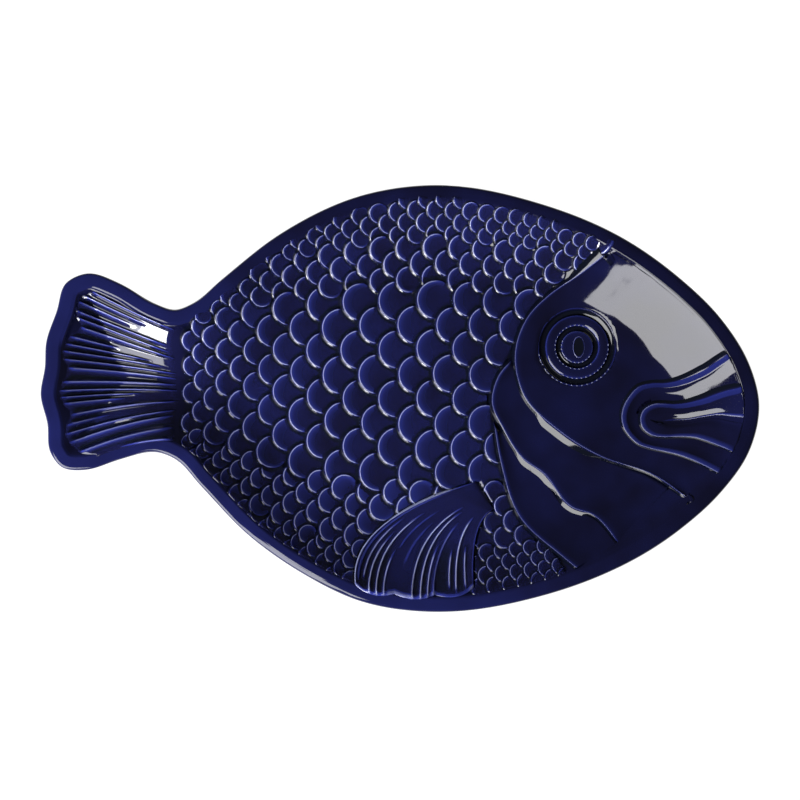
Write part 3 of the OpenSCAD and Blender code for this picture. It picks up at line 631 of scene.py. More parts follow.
def rows_of_scales(sizes):
    """Where each scale lies: kind -> [(x, y, radius, direction of its free edge)]. The rows run along the
    fish: large scales on the flank, middle ones, and small ones near the rim. They close up where the body
    narrows."""
    half_l, half_w = HALF
    rim = closed_curve(at(OUTLINE), 4)
    half_n = len(rim) // 2
    fin = fin_edge()
    pitches = [value / MM for value in (sizes.flank_pitch, sizes.mid_pitch, sizes.fine_pitch)]
    gaps = [value / MM for value in (sizes.flank_row, sizes.mid_row, sizes.fine_row)]
    # places along the fish, the last row of middle scales and of all, how tight they lie, and the bare rim
    neck_x, tail_x, nape_x, breast_x = -0.42 * half_l, -0.6 * half_l, 0.59 * half_l, 0.22 * half_l
    mid_last, outermost, overlap, rim_gap = 7, 12, 0.98, 7.4

    def back_y(x):
        return np.interp(-x, -rim[:half_n + 1, 0], rim[:half_n + 1, 1])

    def belly_y(x):
        return np.interp(x, rim[half_n:, 0], rim[half_n:, 1])

    def middle_y(x):
        """The middle row, which rises toward the tail."""
        return 0.1 * half_w * min(1, max(0, (-0.15 * half_l - x) / (0.45 * half_l)))

    def size_at(x, side):
        """How large scales are where the body is so wide."""
        span = (back_y(x) - middle_y(x) if side > 0 else middle_y(x) - belly_y(x) if side < 0
                else (back_y(x) - belly_y(x)) / 2)
        return (max(1, span) / half_w) ** 0.68

    def crowd(x):
        """Scales lie closer toward the head."""
        return 1 - 0.22 * min(1, max(0, (x - 0.075 * half_l) / (0.25 * half_l)))

    def band(k, large):
        """0 for a row of large scales, 1 for middle ones and 2 for small ones."""
        return 0 if k <= large else 1 if k <= mid_last else 2

    def row_out(k, large):
        """How far out row k lies where the body is widest."""
        return sum((gaps[band(i, large)] + gaps[band(max(1, i - 1), large)]) / 2 for i in range(1, k + 1))

    rows = {"flank": [], "tail": [], "back": [], "belly": [], "breast": []}
    for b in range(-outermost, outermost + 1):
        side, large = (b > 0) - (b < 0), 4 if b > 0 else 3
        size = band(abs(b), large)
        out = side * row_out(abs(b), large)

        def row_y(x):
            return middle_y(x) + out * size_at(x, side)

        x, step = nape_x, 0
        while x >= tail_x:
            pitch = pitches[size] * size_at(x, 0) * crowd(x)
            row = gaps[size] * size_at(x, side)
            r = overlap * (pitch**2 / 4 + row**2) / (2 * row)
            p = np.array([[x, row_y(x)]])
            # the scales run on under the rim lip, and at the nape under the edge of the cheek
            reach = 0.95 if p[0, 1] > 45 else 0.5
            fin_gap = line_distance(p, fin)[0] * (-1 if inside(p, fin)[0] else 1)
            if ((step + abs(b)) % 2 == 0 and belly_y(x) < p[0, 1] < back_y(x)
                    and behind_gill(p)[0] > -reach * r and line_distance(p, RIM)[0] > rim_gap
                    and fin_gap > -0.5 * r):
                kind = (("flank" if x > neck_x else "tail") if size == 0 else "back" if b > 0
                        else "breast" if x > breast_x else "belly")
                way = math.degrees(math.atan2(row_y(x - 1) - row_y(x + 1), -2))
                rows[kind].append((x, p[0, 1], r, way))
            x, step = x - 0.5 * pitch, step + 1
    return rows


class PLATTER_OT_scales(bpy.types.Operator):
    """Models two scales and copies them along the rows of the flank, back, belly, breast and tail root"""

    bl_idname = "platter.scales"
    bl_label = "Scales"

    def model_scale(self, name, segments, wall):
        """One scale, its free edge toward +X: a rounded wall, a crest and a dished face."""
        outer = SCALE_R + 1.45 * wall
        bpy.ops.mesh.primitive_cylinder_add(vertices=segments, radius=outer * MM, depth=2 * MM,
                                            end_fill_type="NGON", location=(0, 0, -3.08 * MM))
        scale = bpy.context.object
        scale.name = name
        bpy.ops.object.transform_apply(location=True, rotation=True, scale=True)
        select_faces(scale, lambda normal: normal.z > 0.9)
        steps = ((0.25 * wall, 0.8), (0.45 * wall, 0.66), (0.65 * wall, 0.54), (0.3 * wall, 0.08),
                 (0.4 * wall, -0.08), (1.2, -0.2), (1.5, -0.14), (1.5, -0.1), (1.5, -0.04), (1.5, 0))
        for inset, rise in steps:
            bpy.ops.mesh.inset(thickness=inset * MM, depth=rise * MM)
        bpy.ops.mesh.poke()
        bpy.ops.object.mode_set(mode="OBJECT")
        points = read_points(scale)
        reach = np.hypot(points[:, 0], points[:, 1])
        rings = outer - np.cumsum([0] + [inset for inset, _ in steps])
        # pale thin glaze on the crest; the foot of the wall is dark with pooled glaze and painted shade
        glaze_and_shade = np.interp(reach, rings[::-1], [0, 0, 0.01, 0.03, 0.09, 0.24, 1, 0.2, -0.45, -0.9, -1])
        # the crest is pale only around the free edge
        face_glow = 0.17
        ahead = points[:, 0] / np.maximum(reach, 0.1)
        pale = face_glow + (glaze_and_shade - face_glow) * smooth_step(-0.45, 0.2, ahead)
        glaze_and_shade = np.where(glaze_and_shade > face_glow, pale, glaze_and_shade)
        # painted shade: the face darkens toward its root, under the next scale, and is lighter toward its
        # free edge
        mark_glaze_light_and_shade(scale, glaze_and_shade + np.where(reach < rings[4] - 0.01, 0.1 * points[:, 0] / SCALE_R, 0))
        return scale

    def execute(self, context):
        sizes = context.scene.platter_sizes
        fin = fin_edge()
        models = {"flank": self.model_scale("scale_flank", 36, 1.0),
                  "small": self.model_scale("scale_small", 20, 1.35)}
        shapes = {use: read_points(model) for use, model in models.items()}
        model_glaze_and_shade = {use: read_glaze_light_and_shade(model) for use, model in models.items()}
        hand = np.random.default_rng(7)

        def sink(points, d):
            near = line_distance(points, fin)
            under = np.where(inside(points, fin), -near, near)
            # at the nape the scales run on to the edge of the cheek, and along the belly they end sooner
            margin = np.interp(points[:, 1], [40, 60], [0.5, 5.5])
            low = smooth_step(0, -30, points[:, 1])
            return (smooth_step(5.4 + 1.6 * low, 7.6 + 2 * low, d) * smooth_step(-1.2, 0.4, under)
                    * smooth_step(-2, 0, behind_gill(points) + margin))

        names = {"flank": "flank_scales", "tail": "tail_root_scales", "back": "back_scales",
                 "belly": "belly_scales", "breast": "breast_scales"}
        # painted light: belly scales lighter, toward the lamps, and back scales a little darker
        side_light_tint = {"belly": 0.09, "back": -0.02}
        # no two scales of a hand carved mould are the same
        rows = {kind: [(x + hand.uniform(-0.06, 0.06) * r, y + hand.uniform(-0.05, 0.05) * r,
                        r * hand.uniform(0.96, 1.05), way + hand.uniform(-11, 11)) for x, y, r, way in places]
                for kind, places in rows_of_scales(sizes).items()}
        every = np.array([place[:3] for places in rows.values() for place in places])
        for kind, places in rows.items():
            use = "flank" if kind == "flank" else "small"
            copies = []
            for x, y, r, way in places:
                height = min(sizes.scale_h / MM + 0.4, 1.1 + 0.14 * r) * hand.uniform(0.93, 1.07)
                way = math.radians(way)
                grow = r / SCALE_R
                points = shapes[use] * (grow, grow, height / SCALE_H)
                points[:, 2] += height * (0.5 + 0.5 * points[:, 0] / r)
                turn = [[math.cos(way), math.sin(way)], [-math.sin(way), math.cos(way)]]
                points[:, :2] = points[:, :2] @ turn
                points[:, :2] += (x, y)
                # what lies under the scales on its head side is pressed down by a millimetre, and painted
                # shade darkens it along their edges
                ahead = every[:, 0] - x
                over = every[((ahead > 0.01) | ((np.abs(ahead) <= 0.01) & (every[:, 1] > y)))
                             & (np.hypot(ahead, every[:, 1] - y) < r + every[:, 2] + 2)]
                pressed, shade_by_edges = np.zeros(len(points)), np.zeros(len(points))
                for ox, oy, o_r in over:
                    apart = np.hypot(points[:, 0] - ox, points[:, 1] - oy)
                    pressed = np.maximum(pressed, smooth_step(o_r, o_r * 0.86, apart))
                    near = min(1, o_r / 11)
                    shade_by_edges = np.maximum(shade_by_edges, smooth_step(o_r + 3.2 * near, o_r + 1.5 * near, apart))
                points[:, 2] -= pressed
                copy = bpy.data.objects.new(f"scale_of_{kind}", models[use].data.copy())
                context.scene.collection.objects.link(copy)
                write_points(copy, points)
                mark_glaze_light_and_shade(copy, model_glaze_and_shade[use] + side_light_tint.get(kind, 0) - 1.1 * shade_by_edges)
                copies.append(copy)
            group = join(copies)
            group.name = names[kind] + "_glazed"
            points, shade = read_points(group), read_glaze_light_and_shade(group)
            lay_on_dish(group, sink=sink)
            # painted shade: along the belly the pale crests of the outer scales near the rim are dimmed
            rim_d = line_distance(points[:, :2], RIM)
            thin = np.where(points[:, 1] < -10, smooth_step(8, 14, rim_d), 1)
            mark_glaze_light_and_shade(group, np.where(shade > 0, shade * thin, shade))
            glaze(group, names[kind])
        for model in models.values():
            bpy.data.objects.remove(model)
        return {"FINISHED"}


class PLATTER_OT_tail(bpy.types.Operator):
    """Draws the tail as fluted rays that fan out from the root, three lobes wide"""

    bl_idname = "platter.tail"
    bl_label = "Tail rays"

    def execute(self, context):
        rays, height = len(TAIL_END) - 1, context.scene.platter_sizes.ray_h / MM
        starts = np.array(TAIL_STARTS)

        def place(u, v):
            phase = u * (rays + 1) - 0.5
            t = np.clip(phase / rays, 0, 1)
            root, end = on_curve(TAIL_ROOT, t), on_curve(TAIL_END, t)
            flat = root + (end - root) * v[:, None]
            flat[:, 1] += 4 * v * (1 - v) * (3.3 * t - 0.8) - 3 * (phase - np.clip(phase, 0, rays))
            # each ray has a steep side and a long one
            steep, long = -0.38, 0.62
            near = np.clip(np.floor(phase - steep).astype(int), 0, rays)
            off = phase - near
            grown = smooth_step(starts[near] - 0.02, starts[near] + 0.22, v) * smooth_step(1.0, 0.9, v)
            grown = np.where(near == rays, grown * smooth_step(0.75, 0.4, v), grown)
            edge = smooth_step(0, 0.014, u) * smooth_step(1, 0.986, u)
            shape = np.interp(off, [steep, -0.2, -0.08, 0, 0.1, 0.3, 0.5, long],
                              [0, 0.2, 0.86, 1, 0.94, 0.56, 0.16, 0])
            z = height * shape * grown * edge + 0.5 - 1.8 * (1 - edge) - 1.6 * smooth_step(0.95, 1, v)
            z -= 1.6 * smooth_step(0.05, 0, v)
            # pale thin glaze on each crest; painted light lightens its long side and painted shade darkens
            # the hollows between rays
            crest = np.interp(off, [steep, -0.18, -0.08, 0, 0.07, 0.2, 0.38, 0.52, long],
                              [-1, -1, -0.1, 1, 0.42, 0.12, 0, -0.6, -1])
            crest = crest * grown * edge * smooth_step(0.985, 0.93, v)
            return np.column_stack([flat, z]), crest

        tail = lay_grid("tail_rays_glazed", (rays + 1) * 13, 36, place)
        lay_on_dish(tail)
        thicken(tail)
        glaze(tail, "tail_rays")
        return {"FINISHED"}


class PLATTER_OT_fin(bpy.types.Operator):
    """Models the breast fin: a smooth shoulder that opens into three lobes of thin rays"""

    bl_idname = "platter.fin"
    bl_label = "Breast fin"

    def execute(self, context):
        height = context.scene.platter_sizes.fin_h / MM

        def place(u, v):
            flat = fin_point(u, v)
            # how wide the fin is from its root to its tip, and how high it stands past its shoulder
            width = 18 * (1 - v) ** 2 + 144 * v * (1 - v) + 67 * v**2
            top = 0.12
            full = np.where(v < top, 0.5 + 0.5 * v / top, 1 - 0.6 * ((v - top) / (1 - top)) ** 2) * height
            ridge, line, near = np.zeros_like(u), np.zeros_like(u), np.zeros_like(u)
            for bend, tip, first, last, sharp in FIN_RAYS:
                off = (u - tip - (bend - tip) * 2 * (1 - v)) * width
                grown = smooth_step(first - 0.03, first + 0.14, v) * smooth_step(last + 0.02, last - 0.04, v)
                ridge = np.maximum(ridge, np.exp(-(off / 1.0) ** 2) * grown * (0.4 + 0.6 * sharp))
                line = np.maximum(line, np.exp(-(off / 0.5) ** 2) * grown * sharp)
                near = np.maximum(near, np.exp(-(off / 0.95) ** 2) * grown)
            valley = np.zeros_like(u)
            for low, high, first in FIN_VALLEYS:
                across = smooth_step(low - 0.02, low + 0.02, u) * smooth_step(high + 0.02, high - 0.02, u)
                along = smooth_step(first, first + 0.25, v) * smooth_step(1, 0.95, v)
                valley = np.maximum(valley, across * along)
            edge = (smooth_step(0, 0.012, u) * smooth_step(1, 0.985, u) * smooth_step(1, 0.982, v)
                    * smooth_step(0, 0.02, v))
            z = full - 0.6 * valley + 0.8 * ridge
            z = z * edge - 1.2 * (1 - edge)
            tips = 0.55 * smooth_step(0.95, 0.968, v) * smooth_step(1.0, 0.985, v)
            # pale crests and tips of thin glaze; the hollows between the rays are dark with pooled glaze and
            # painted shade
            crest = np.maximum(line, tips) - 0.55 * valley * (1 - near) + 0.02 * (1 - valley)
            return np.column_stack([flat, z]), crest

        fin = lay_grid("breast_fin_glazed", 240, 60, place)
        lay_on_dish(fin)
        thicken(fin)
        glaze(fin, "pectoral_fin", "fin_ray_set")
        return {"FINISHED"}


def lay_plate(name, rear, front, steps, edge, foot, wall, fade, front_h=0.0, groove=0.0, far=12, sunk=2.2,
              roll=1.2, lean=0.0, dense=1.0):
    """A plate of skin: a sloping wall from its foot up to the crest of its free edge, and a face that falls
    away. rear is the free edge, front the line where the face ends, and steps the number of points along
    them. edge is the height of the crest and foot the depth of the wall, which is as wide as the (share of
    the run, width) in wall. The plate fades in and out over the shares in fade, down to sunk. Its face ends
    at front_h, with a groove of that strength along it. far is the number of points over the face, and dense
    crowds them toward the front. The crest is rounded over roll; with lean, along the first part of the run,
    that rounding faces back over the wall."""
    # over the wall and the crest: place, height and glaze with painted shade darkening the wall, and what
    # leaning takes off both
    spread = np.array([-1.15, -1.0, -0.8, -0.55, -0.3, -0.12, 0, 0.3, 0.86, 1.0])
    rise = np.array([-foot - 1.6, -foot - 0.2, *(np.array([0.2, 0.52, 0.82, 0.97]) * (edge + foot) - foot),
                     edge, 0.98 * edge, 0.935 * edge, 0.92 * edge])
    glaze_and_shade = np.array([-1, -1, -1, -0.95, -0.6, 0.1, 0.75, 0.25, 0.11, 0.08])
    back = np.array([0, 0.5, 0.5, 0.5, 0.5, 0.5, 0.5, 0.36, 0.08, 0])
    leaning_glaze_and_shade = np.array([0, 0, 0, 0, 0, 0, -0.45, -0.03, 0.1, 0.02])
    shares = 1 - (1 - np.linspace(0, 1, far + 1)[1:]) ** dense
    front_z = np.interp(shares, [0.78, 0.84, 0.88, 0.94, 1.0], [0, 0.2, 0.3, -0.5, -1.2]) * groove
    slit_light_and_shade = np.interp(shares, [0.76, 0.83, 0.88, 0.92, 1.0], [0, 0.3, 0.6, -0.9, -1.0]) * (groove > 0)
    columns = len(spread) + len(shares) - 1

    def place(u, v):
        k = np.rint(v * columns).astype(int)
        a, b = on_curve(rear, u), front(u) if callable(front) else on_curve(front, u)
        side = beside(rear, u, 0.004)
        side *= np.sign((side * (b - a)).sum(1))[:, None]
        near = k < len(spread)
        step, face = np.minimum(k, len(spread) - 1), np.clip(k - len(spread), 0, len(shares) - 1)
        reach = np.linalg.norm(b - a, axis=1)
        round_w = np.minimum(roll, 0.5 * reach)
        first = round_w / np.maximum(reach, 0.1)
        share = np.where(near, np.maximum(0, spread[step]) * first, first + (1 - first) * shares[face])
        out = np.where(near, np.minimum(0, spread[step]) * np.interp(u, *zip(*wall)), 0)
        flat = a + side * out[:, None] + (b - a) * share[:, None]
        down = smooth_step(0.97, 0.5, share) if groove else np.clip(1 - (share - first) / 0.45, 0, 1) ** 2
        # a groove runs out where the plate turns
        bend = smooth_step(0.02, 0.16, np.abs(2 * u - 1))
        fall = front_h + (0.9 * edge - front_h) * down + front_z[face] * bend
        ends = smooth_step(-0.001, fade[0], u) * smooth_step(0.998, 0.998 - fade[1], u)
        leaning = lean * smooth_step(0.45, 0.3, u)
        z = np.where(near, rise[step] * (1 - back[step] * leaning), fall)
        z = np.where(z > 0, z * ends, z) - sunk * (1 - ends)
        # only the upper side of a groove has a pale edge, of thin glaze and painted highlight, and the groove
        # is dark with painted shade
        pale = np.interp(u, [0, 0.2, 0.3, 0.5], [1.4, 1.2, 0.5, 0.2])
        front_edge = np.where(u > 0.5, np.minimum(slit_light_and_shade[face], 0), slit_light_and_shade[face] * pale) * bend
        crest = np.where(near, glaze_and_shade[step] + leaning_glaze_and_shade[step] * leaning, front_edge) * ends
        return np.column_stack([flat, z]), crest

    return lay_grid(name, steps, columns, place)


class PLATTER_OT_gill(bpy.types.Operator):
    """Lays the gill flap and the gill cover, one under the other"""

    bl_idname = "platter.gill"
    bl_label = "Gill"

    def execute(self, context):
        sizes = context.scene.platter_sizes
        edge, root = sizes.plate_h / MM, sizes.plate_root_h / MM
        # the wall of the gill cover leans out in two places, where it catches the light
        for name, node, rear, front, steps, wall in (
            ("gill_flap_glazed", "gill_flap", FLAP_EDGE, GILL_UNDER, 110, [(0, 1.6), (1, 1.6)]),
            ("gill_cover_glazed", "gill_cover", GILL_EDGE, CHEEK_UNDER, 160,
             [(0, 1.8), (0.46, 1.8), (0.52, 4.0), (0.65, 4.4), (0.69, 2.0), (0.72, 3.6), (0.82, 3.4),
              (0.87, 1.5), (1, 1.0)]),
        ):
            plate = lay_plate(name, rear, front, steps, edge - root, 0.3, wall, (0.06, 0.05))
            lay_on_dish(plate, skin, under_lip)
            thicken(plate)
            glaze(plate, node)
        return {"FINISHED"}


class PLATTER_OT_head(bpy.types.Operator):
    """Lays the smooth cheek from its free edge to the rim, and the fold of skin at the nape"""

    bl_idname = "platter.head"
    bl_label = "Head"

    def execute(self, context):
        sizes = context.scene.platter_sizes
        root = sizes.plate_root_h / MM
        # the cheek ends along a line just inside the rim lip, from the nape around the nose to the throat
        inward = 8.2
        run = np.concatenate([[0], np.cumsum(np.linalg.norm(np.roll(RIM, -1, axis=0) - RIM, axis=1))])
        turn = np.roll(RIM, -1, axis=0) - np.roll(RIM, 1, axis=0)
        normal = np.column_stack([-turn[:, 1], turn[:, 0]]) / np.linalg.norm(turn, axis=1)[:, None]
        half_n = len(RIM) // 2
        nape_x, throat_x = (end[0] * HALF[0] + 2 for end in (CHEEK_EDGE[0], CHEEK_EDGE[-1]))
        nape = np.interp(-nape_x, -RIM[:half_n, 0], run[:half_n])
        throat = np.interp(throat_x, RIM[half_n:, 0], run[half_n:-1]) - run[-1]
        line = np.vstack([RIM + inward * normal, RIM[:1] + inward * normal[:1]])

        def rim_line(u):
            s = (nape + (throat - nape) * u) % run[-1]
            return np.column_stack([np.interp(s, run, line[:, k]) for k in (0, 1)])

        wall = [(0, 5.5), (0.09, 4.5), (0.14, 2.0), (0.52, 1.8), (0.605, 2.0), (0.63, 4.8), (0.72, 4.8),
                (0.75, 4.2), (0.79, 2.0), (1, 1.4)]
        cheek = lay_plate("cheek_glazed", CHEEK_EDGE, rim_line, 220, sizes.plate_h / MM - root, 0.3, wall,
                          (0.03, 0.035), far=64, dense=1.6)
        middle = at(EYE)

        def round_eye(points, d):
            low = smooth_step(-30, -45, points[:, 1])
            return smooth_step(8, 8.6 + 7 * low, d) * smooth_step(19.5, 22.0, np.hypot(*(points - middle).T))

        # a low swelling of the brow bends the edge of the light on it
        brow_x, brow_y, brow_w, brow_h = 121, 31, 8, 0.9
        points = read_points(cheek)
        away = (points[:, 0] - brow_x) ** 2 + (points[:, 1] - brow_y) ** 2
        points[:, 2] += brow_h * np.exp(-away / (2 * brow_w**2))
        write_points(cheek, points)
        lay_on_dish(cheek, lambda d: skin(d) + 0.15, round_eye)
        thicken(cheek)
        glaze(cheek, "cheek")

        def place(u, v):
            flat, side = on_curve(NAPE_FOLD, u), beside(NAPE_FOLD, u, 0.01)
            ends = np.sqrt(np.clip(4 * u * (1 - u), 0, 1))
            # its long side leans toward the back
            ridge, fold_w = 0.35, 6.5
            across = v - ridge
            z = (2.2 - 2.6 * np.where(across > 0, across / (1 - ridge), -across / ridge) ** 1.2) * ends - 0.4
            crest = 0.8 * np.clip(1 - 6 * np.abs(across), 0, 1) * ends
            return np.column_stack([flat + side * (across * fold_w)[:, None], z]), crest

        fold = lay_grid("nape_folds_glazed", 30, 16, place)
        lay_on_dish(fold)
        thicken(fold, 1.5)
        glaze(fold, "nape_fold")
        return {"FINISHED"}


class PLATTER_OT_eye(bpy.types.Operator):
    """Turns the four rings of the eye and sets rows of small beads on the edges of the outer three"""

    bl_idname = "platter.eye"
    bl_label = "Eye"

    def turned(self, name, profile):
        """Rings extruded one from another, each at the radius and the height that the profile gives."""
        radius, height, _ = profile[0]
        bpy.ops.mesh.primitive_circle_add(vertices=72, radius=radius * MM, fill_type="NOTHING",
                                          location=(0, 0, height * MM))
        ring = bpy.context.object
        ring.name = name
        bpy.ops.object.transform_apply(location=True, rotation=True, scale=True)
        bpy.ops.object.mode_set(mode="EDIT")
        bpy.ops.mesh.select_mode(type="EDGE")
        bpy.ops.mesh.select_all(action="SELECT")
        for r, z, _ in profile[1:]:
            bpy.ops.mesh.extrude_region_move(TRANSFORM_OT_translate={"value": (0, 0, (z - height) * MM)})
            if r > 0:
                bpy.ops.transform.resize(value=(r / radius, r / radius, 1))
                radius = r
            else:
                bpy.ops.mesh.merge(type="CENTER")
            height = z
        bpy.ops.mesh.select_all(action="SELECT")
        bpy.ops.mesh.normals_make_consistent(inside=False)
        bpy.ops.object.mode_set(mode="OBJECT")
        face_up(ring)
        points = read_points(ring)
        radii, _, shades = zip(*sorted(profile))
        mark_glaze_light_and_shade(ring, np.interp(np.hypot(points[:, 0], points[:, 1]), radii, shades))
        return ring

    def beads(self, ring, rows):
        """Small flattened beads along the edges of a ring, joined to it."""
        bpy.ops.mesh.primitive_ico_sphere_add(subdivisions=2, radius=0.5 * MM)
        bead = bpy.context.object
        mark_glaze_light_and_shade(bead, np.full(len(bead.data.vertices), 0.7))
        copies = []
        for radius, height, count, first, last in rows:
            for i in range(int(count * first / 360), int(count * last / 360)):
                turn = 2 * math.pi * (i + 0.5) / count
                copy = bpy.data.objects.new("bead", bead.data.copy())
                bpy.context.scene.collection.objects.link(copy)
                out = Matrix.Translation((radius * MM, 0, height * MM))
                copy.matrix_world = Matrix.Rotation(turn, 4, "Z") @ out @ Matrix.Diagonal((0.7, 1.3, 0.7, 1))
                copies.append(copy)
        bpy.data.objects.remove(bead)
        join([ring, *copies])

    def execute(self, context):
        middle = at(EYE)
        # the profile of each ring as (radius, height, glaze with painted shade in its grooves), and its rows
        # of beads as (radius, height, number in a full turn, first and last angle)
        rings = {
            "eye_socket": (
                [(23.4, -0.6, 0), (22.6, 0.2, 0.0), (22.1, 0.5, 0.1), (21.75, 0.6, 0.2), (21.4, 0.45, 0.0),
                 (20.9, -0.2, -0.6), (20.2, -0.8, -1), (19.2, -1.0, -1), (18.0, -1.1, -1)],
                [(21.75, 0.5, 46, 195, 335)]),
            "eye_inner_ring": (
                [(18.8, -1.3, -1), (18.3, -0.4, -0.9), (17.9, 0.4, 0.0), (17.55, 0.75, 0.45),
                 (17.1, 0.95, 0.1), (16.0, 1.2, 0.02), (14.8, 1.25, 0.02), (13.6, 1.1, 0.02),
                 (12.7, 0.85, 0.1), (12.25, 0.7, 0.45), (11.9, 0.3, 0.0), (11.5, -0.4, -0.9),
                 (10.9, -1.3, -1)],
                [(17.6, 0.65, 42, 240, 370), (12.4, 0.6, 32, 70, 320)]),
            "iris": (
                [(11.4, -1.0, -1), (10.2, -1.0, -1), (9.4, -0.4, -0.9), (9.05, 0.2, 0), (8.75, 0.5, 0.55),
                 (8.3, 0.6, 0.1), (7.2, 0.5, 0.03), (5.0, 0.4, 0.0), (2.5, 0.35, 0.0), (0, 0.35, 0.0)],
                [(8.75, 0.45, 24, 160, 330)]),
            "pupil": (
                [(5.9, 0.1, 0.2), (5.4, 0.5, 0.7), (5.0, 0.55, 0.1), (4.4, 0.45, -0.9), (3.0, 0.42, -1),
                 (1.5, 0.4, -1), (0, 0.4, -1)], []),
        }
        for node, (profile, rows) in rings.items():
            ring = self.turned(node + "_glazed", profile)
            if rows:
                self.beads(ring, rows)
            pick(ring)
            ring.location = (middle[0] * MM, middle[1] * MM, 0)
            if node == "pupil":
                # an upright oval, a little toward the nose
                ring.scale = (0.6, 1.1, 1)
                ring.location.x += 1.0 * MM
            bpy.ops.object.transform_apply(location=True, rotation=True, scale=True)
            lay_on_dish(ring, skin)
            glaze(ring, node)
        return {"FINISHED"}


class PLATTER_OT_mouth(bpy.types.Operator):
    """Lays the two folds of the lips, one inside the other, around the slit of the mouth"""

    bl_idname = "platter.mouth"
    bl_label = "Mouth"

    def execute(self, context):
        lip = context.scene.platter_sizes.lips_h / MM

        def slit(u):
            """There along the upper side of the slit of the mouth, and back along its lower side."""
            flat = on_curve(MOUTH_SLIT, 1 - np.abs(2 * u - 1))
            return flat + np.column_stack([0 * u, 0.1 * np.sign(0.5 - u)])

        # the crevice over the upper arms is wide, and painted shade makes it dark
        wall = [(0, 2.0), (0.06, 4.4), (0.16, 4.8), (0.28, 3.2), (0.42, 2.3), (0.52, 1.6), (0.6, 1.1),
                (1, 1.0)]
        for name, node, rear, front, groove in (
            ("outer_lips_glazed", "outer_lips", LIP_EDGE, MOUTH_EDGE, 0.0),
            ("inner_lips_glazed", "inner_lips", MOUTH_EDGE, slit, 1.0),
        ):
            fold = lay_plate(name, rear, front, 180, lip, 0.0, wall, (0.045, 0.06), front_h=0.15,
                             groove=groove, far=24, sunk=-0.25, roll=2.8, lean=1.0)
            lay_on_dish(fold, skin, lambda points, d: smooth_step(7.8, 8.8, d))
            thicken(fold, 1.2)
            glaze(fold, node)
        return {"FINISHED"}


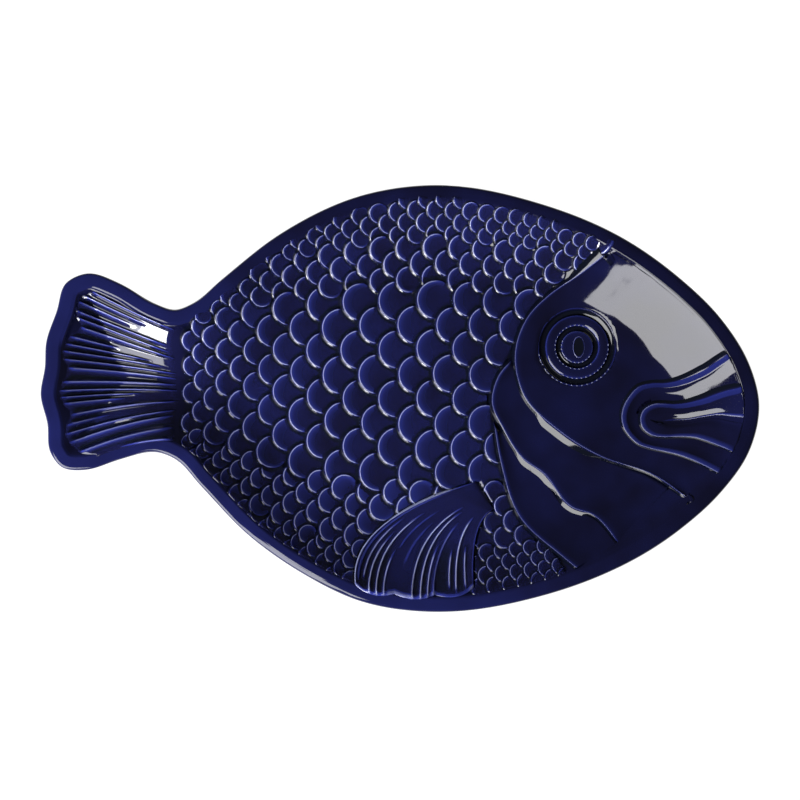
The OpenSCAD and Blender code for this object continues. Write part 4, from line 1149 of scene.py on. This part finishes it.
class PLATTER_OT_stage(bpy.types.Operator):
    """Sets the pale floor, the studio lights, and the camera straight above"""

    bl_idname = "platter.stage"
    bl_label = "Stage"

    def execute(self, context):
        scene = context.scene
        scene.view_settings.view_transform = "Standard"
        bpy.ops.mesh.primitive_plane_add(size=8, location=(0, 0, 0))
        floor = context.object
        floor.name = "stage_floor"
        material, tree = new_material("pale_paper_floor")
        path = add(tree, "ShaderNodeLightPath").outputs
        # white to the camera and in reflections, but it still takes some of the shadow
        seen = add(tree, "ShaderNodeMath", {"operation": "MAXIMUM"}, {},
                   {0: path["Is Camera Ray"], 1: path["Is Glossy Ray"]})
        share = add(tree, "ShaderNodeMath", {"operation": "MULTIPLY"}, {1: 0.9}, {0: seen.outputs[0]})
        paper = add(tree, "ShaderNodeBsdfDiffuse", {}, {"Color": (0.8, 0.8, 0.8, 1)})
        white = add(tree, "ShaderNodeEmission", {}, {"Color": (1, 1, 1, 1), "Strength": 1.12})
        both = add(tree, "ShaderNodeMixShader", {}, {},
                   {0: share.outputs[0], 1: paper.outputs[0], 2: white.outputs[0]})
        add(tree, "ShaderNodeOutputMaterial", {}, {}, {"Surface": both.outputs[0]})
        floor.data.materials.append(material)

        world = bpy.data.worlds.new("studio")
        world.use_nodes = True
        tree = world.node_tree
        tree.nodes.clear()
        path = add(tree, "ShaderNodeLightPath").outputs
        dim = add(tree, "ShaderNodeBackground", {}, {"Color": (1, 1, 1, 1), "Strength": 0.06})
        white = add(tree, "ShaderNodeBackground", {}, {"Color": (1, 1, 1, 1), "Strength": 1.0})
        both = add(tree, "ShaderNodeMixShader", {}, {},
                   {0: path["Is Camera Ray"], 1: dim.outputs[0], 2: white.outputs[0]})
        add(tree, "ShaderNodeOutputWorld", {}, {}, {"Surface": both.outputs[0]})
        scene.world = world

        # a tall soft light stands about 1.2 m away at the lower left, a small bright one low beside it, and a
        # dim one at the tail: distance, direction, angle above the table, width, height and power of each
        for name, away, turn, lift, wide, high, power in (
            ("soft_light", 1.2, 225.5, 36, 0.72, 1.28, 25),
            ("bright_strip", 1.25, 240, 16, 0.36, 0.36, 14),
            ("tail_light", 0.6, 200, 35, 0.4, 0.4, 5.0),
        ):
            turn, lift = math.radians(turn), math.radians(lift)
            bpy.ops.object.light_add(type="AREA")
            light = context.object
            light.name = name
            light.data.shape = "RECTANGLE"
            light.data.size, light.data.size_y = wide, high
            light.data.energy = power
            light.location = away * Vector((math.cos(turn) * math.cos(lift), math.sin(turn) * math.cos(lift),
                                            math.sin(lift)))
            light.rotation_euler = (Vector((0, 0, 0.02)) - light.location).to_track_quat("-Z", "Y").to_euler()
            light.visible_camera = False
            light.visible_glossy = name != "tail_light"
            if name == "bright_strip":
                # flagged off the smooth parts, it sparks on the relief alone
                relief = bpy.data.collections.new("relief_in_the_strip")
                for piece in scene.objects:
                    if piece.name.endswith(("scales_glazed", "rays_glazed", "fin_glazed", "folds_glazed")):
                        relief.objects.link(piece)
                light.light_linking.receiver_collection = relief

        # 800 points of the frame are 444.2 mm wide at the rim, and the platter lies a little above its middle
        lens, sensor, frame_w, frame_y = 120.0, 36, 444.2, -0.84
        bpy.ops.object.camera_add()
        camera = context.object
        camera.name = "camera_above"
        camera.data.lens = lens
        camera.data.sensor_width = sensor
        camera.location = (0, frame_y * MM, RIM_Z * MM + frame_w * MM * lens / sensor)
        camera.rotation_euler = (0, 0, 0)
        camera.data.clip_end = 20
        scene.camera = camera
        return {"FINISHED"}


class PLATTER_PT_panel(bpy.types.Panel):
    """Lists the pieces of the platter with their sizes and colours"""

    bl_idname = "PLATTER_PT_panel"
    bl_label = "Fish Platter"
    bl_space_type = "VIEW_3D"
    bl_region_type = "UI"
    bl_category = "Platter"

    def draw(self, context):
        column = self.layout.column()
        for group in (context.scene.platter_sizes, context.scene.platter_colours):
            for name in group.__annotations__:
                column.prop(group, name)
        for step in STEPS:
            column.operator(step.bl_idname)


STEPS = (
    PLATTER_OT_dish, PLATTER_OT_foot, PLATTER_OT_tail, PLATTER_OT_scales, PLATTER_OT_fin, PLATTER_OT_gill,
    PLATTER_OT_head, PLATTER_OT_eye, PLATTER_OT_mouth, PLATTER_OT_stage,
)
CLASSES = (PlatterSizes, PlatterColours, *STEPS, PLATTER_PT_panel)


def register():
    for item in CLASSES:
        bpy.utils.register_class(item)
    bpy.types.Scene.platter_sizes = bpy.props.PointerProperty(type=PlatterSizes)
    bpy.types.Scene.platter_colours = bpy.props.PointerProperty(type=PlatterColours)


def unregister():
    del bpy.types.Scene.platter_colours
    del bpy.types.Scene.platter_sizes
    for item in reversed(CLASSES):
        bpy.utils.unregister_class(item)


def main():
    register()
    bpy.ops.platter.dish()
    bpy.ops.platter.foot()
    bpy.ops.platter.tail()
    bpy.ops.platter.scales()
    bpy.ops.platter.fin()
    bpy.ops.platter.gill()
    bpy.ops.platter.head()
    bpy.ops.platter.eye()
    bpy.ops.platter.mouth()
    bpy.ops.platter.stage()
    bpy.context.view_layer.update()


if __name__ == "__main__":
    main()
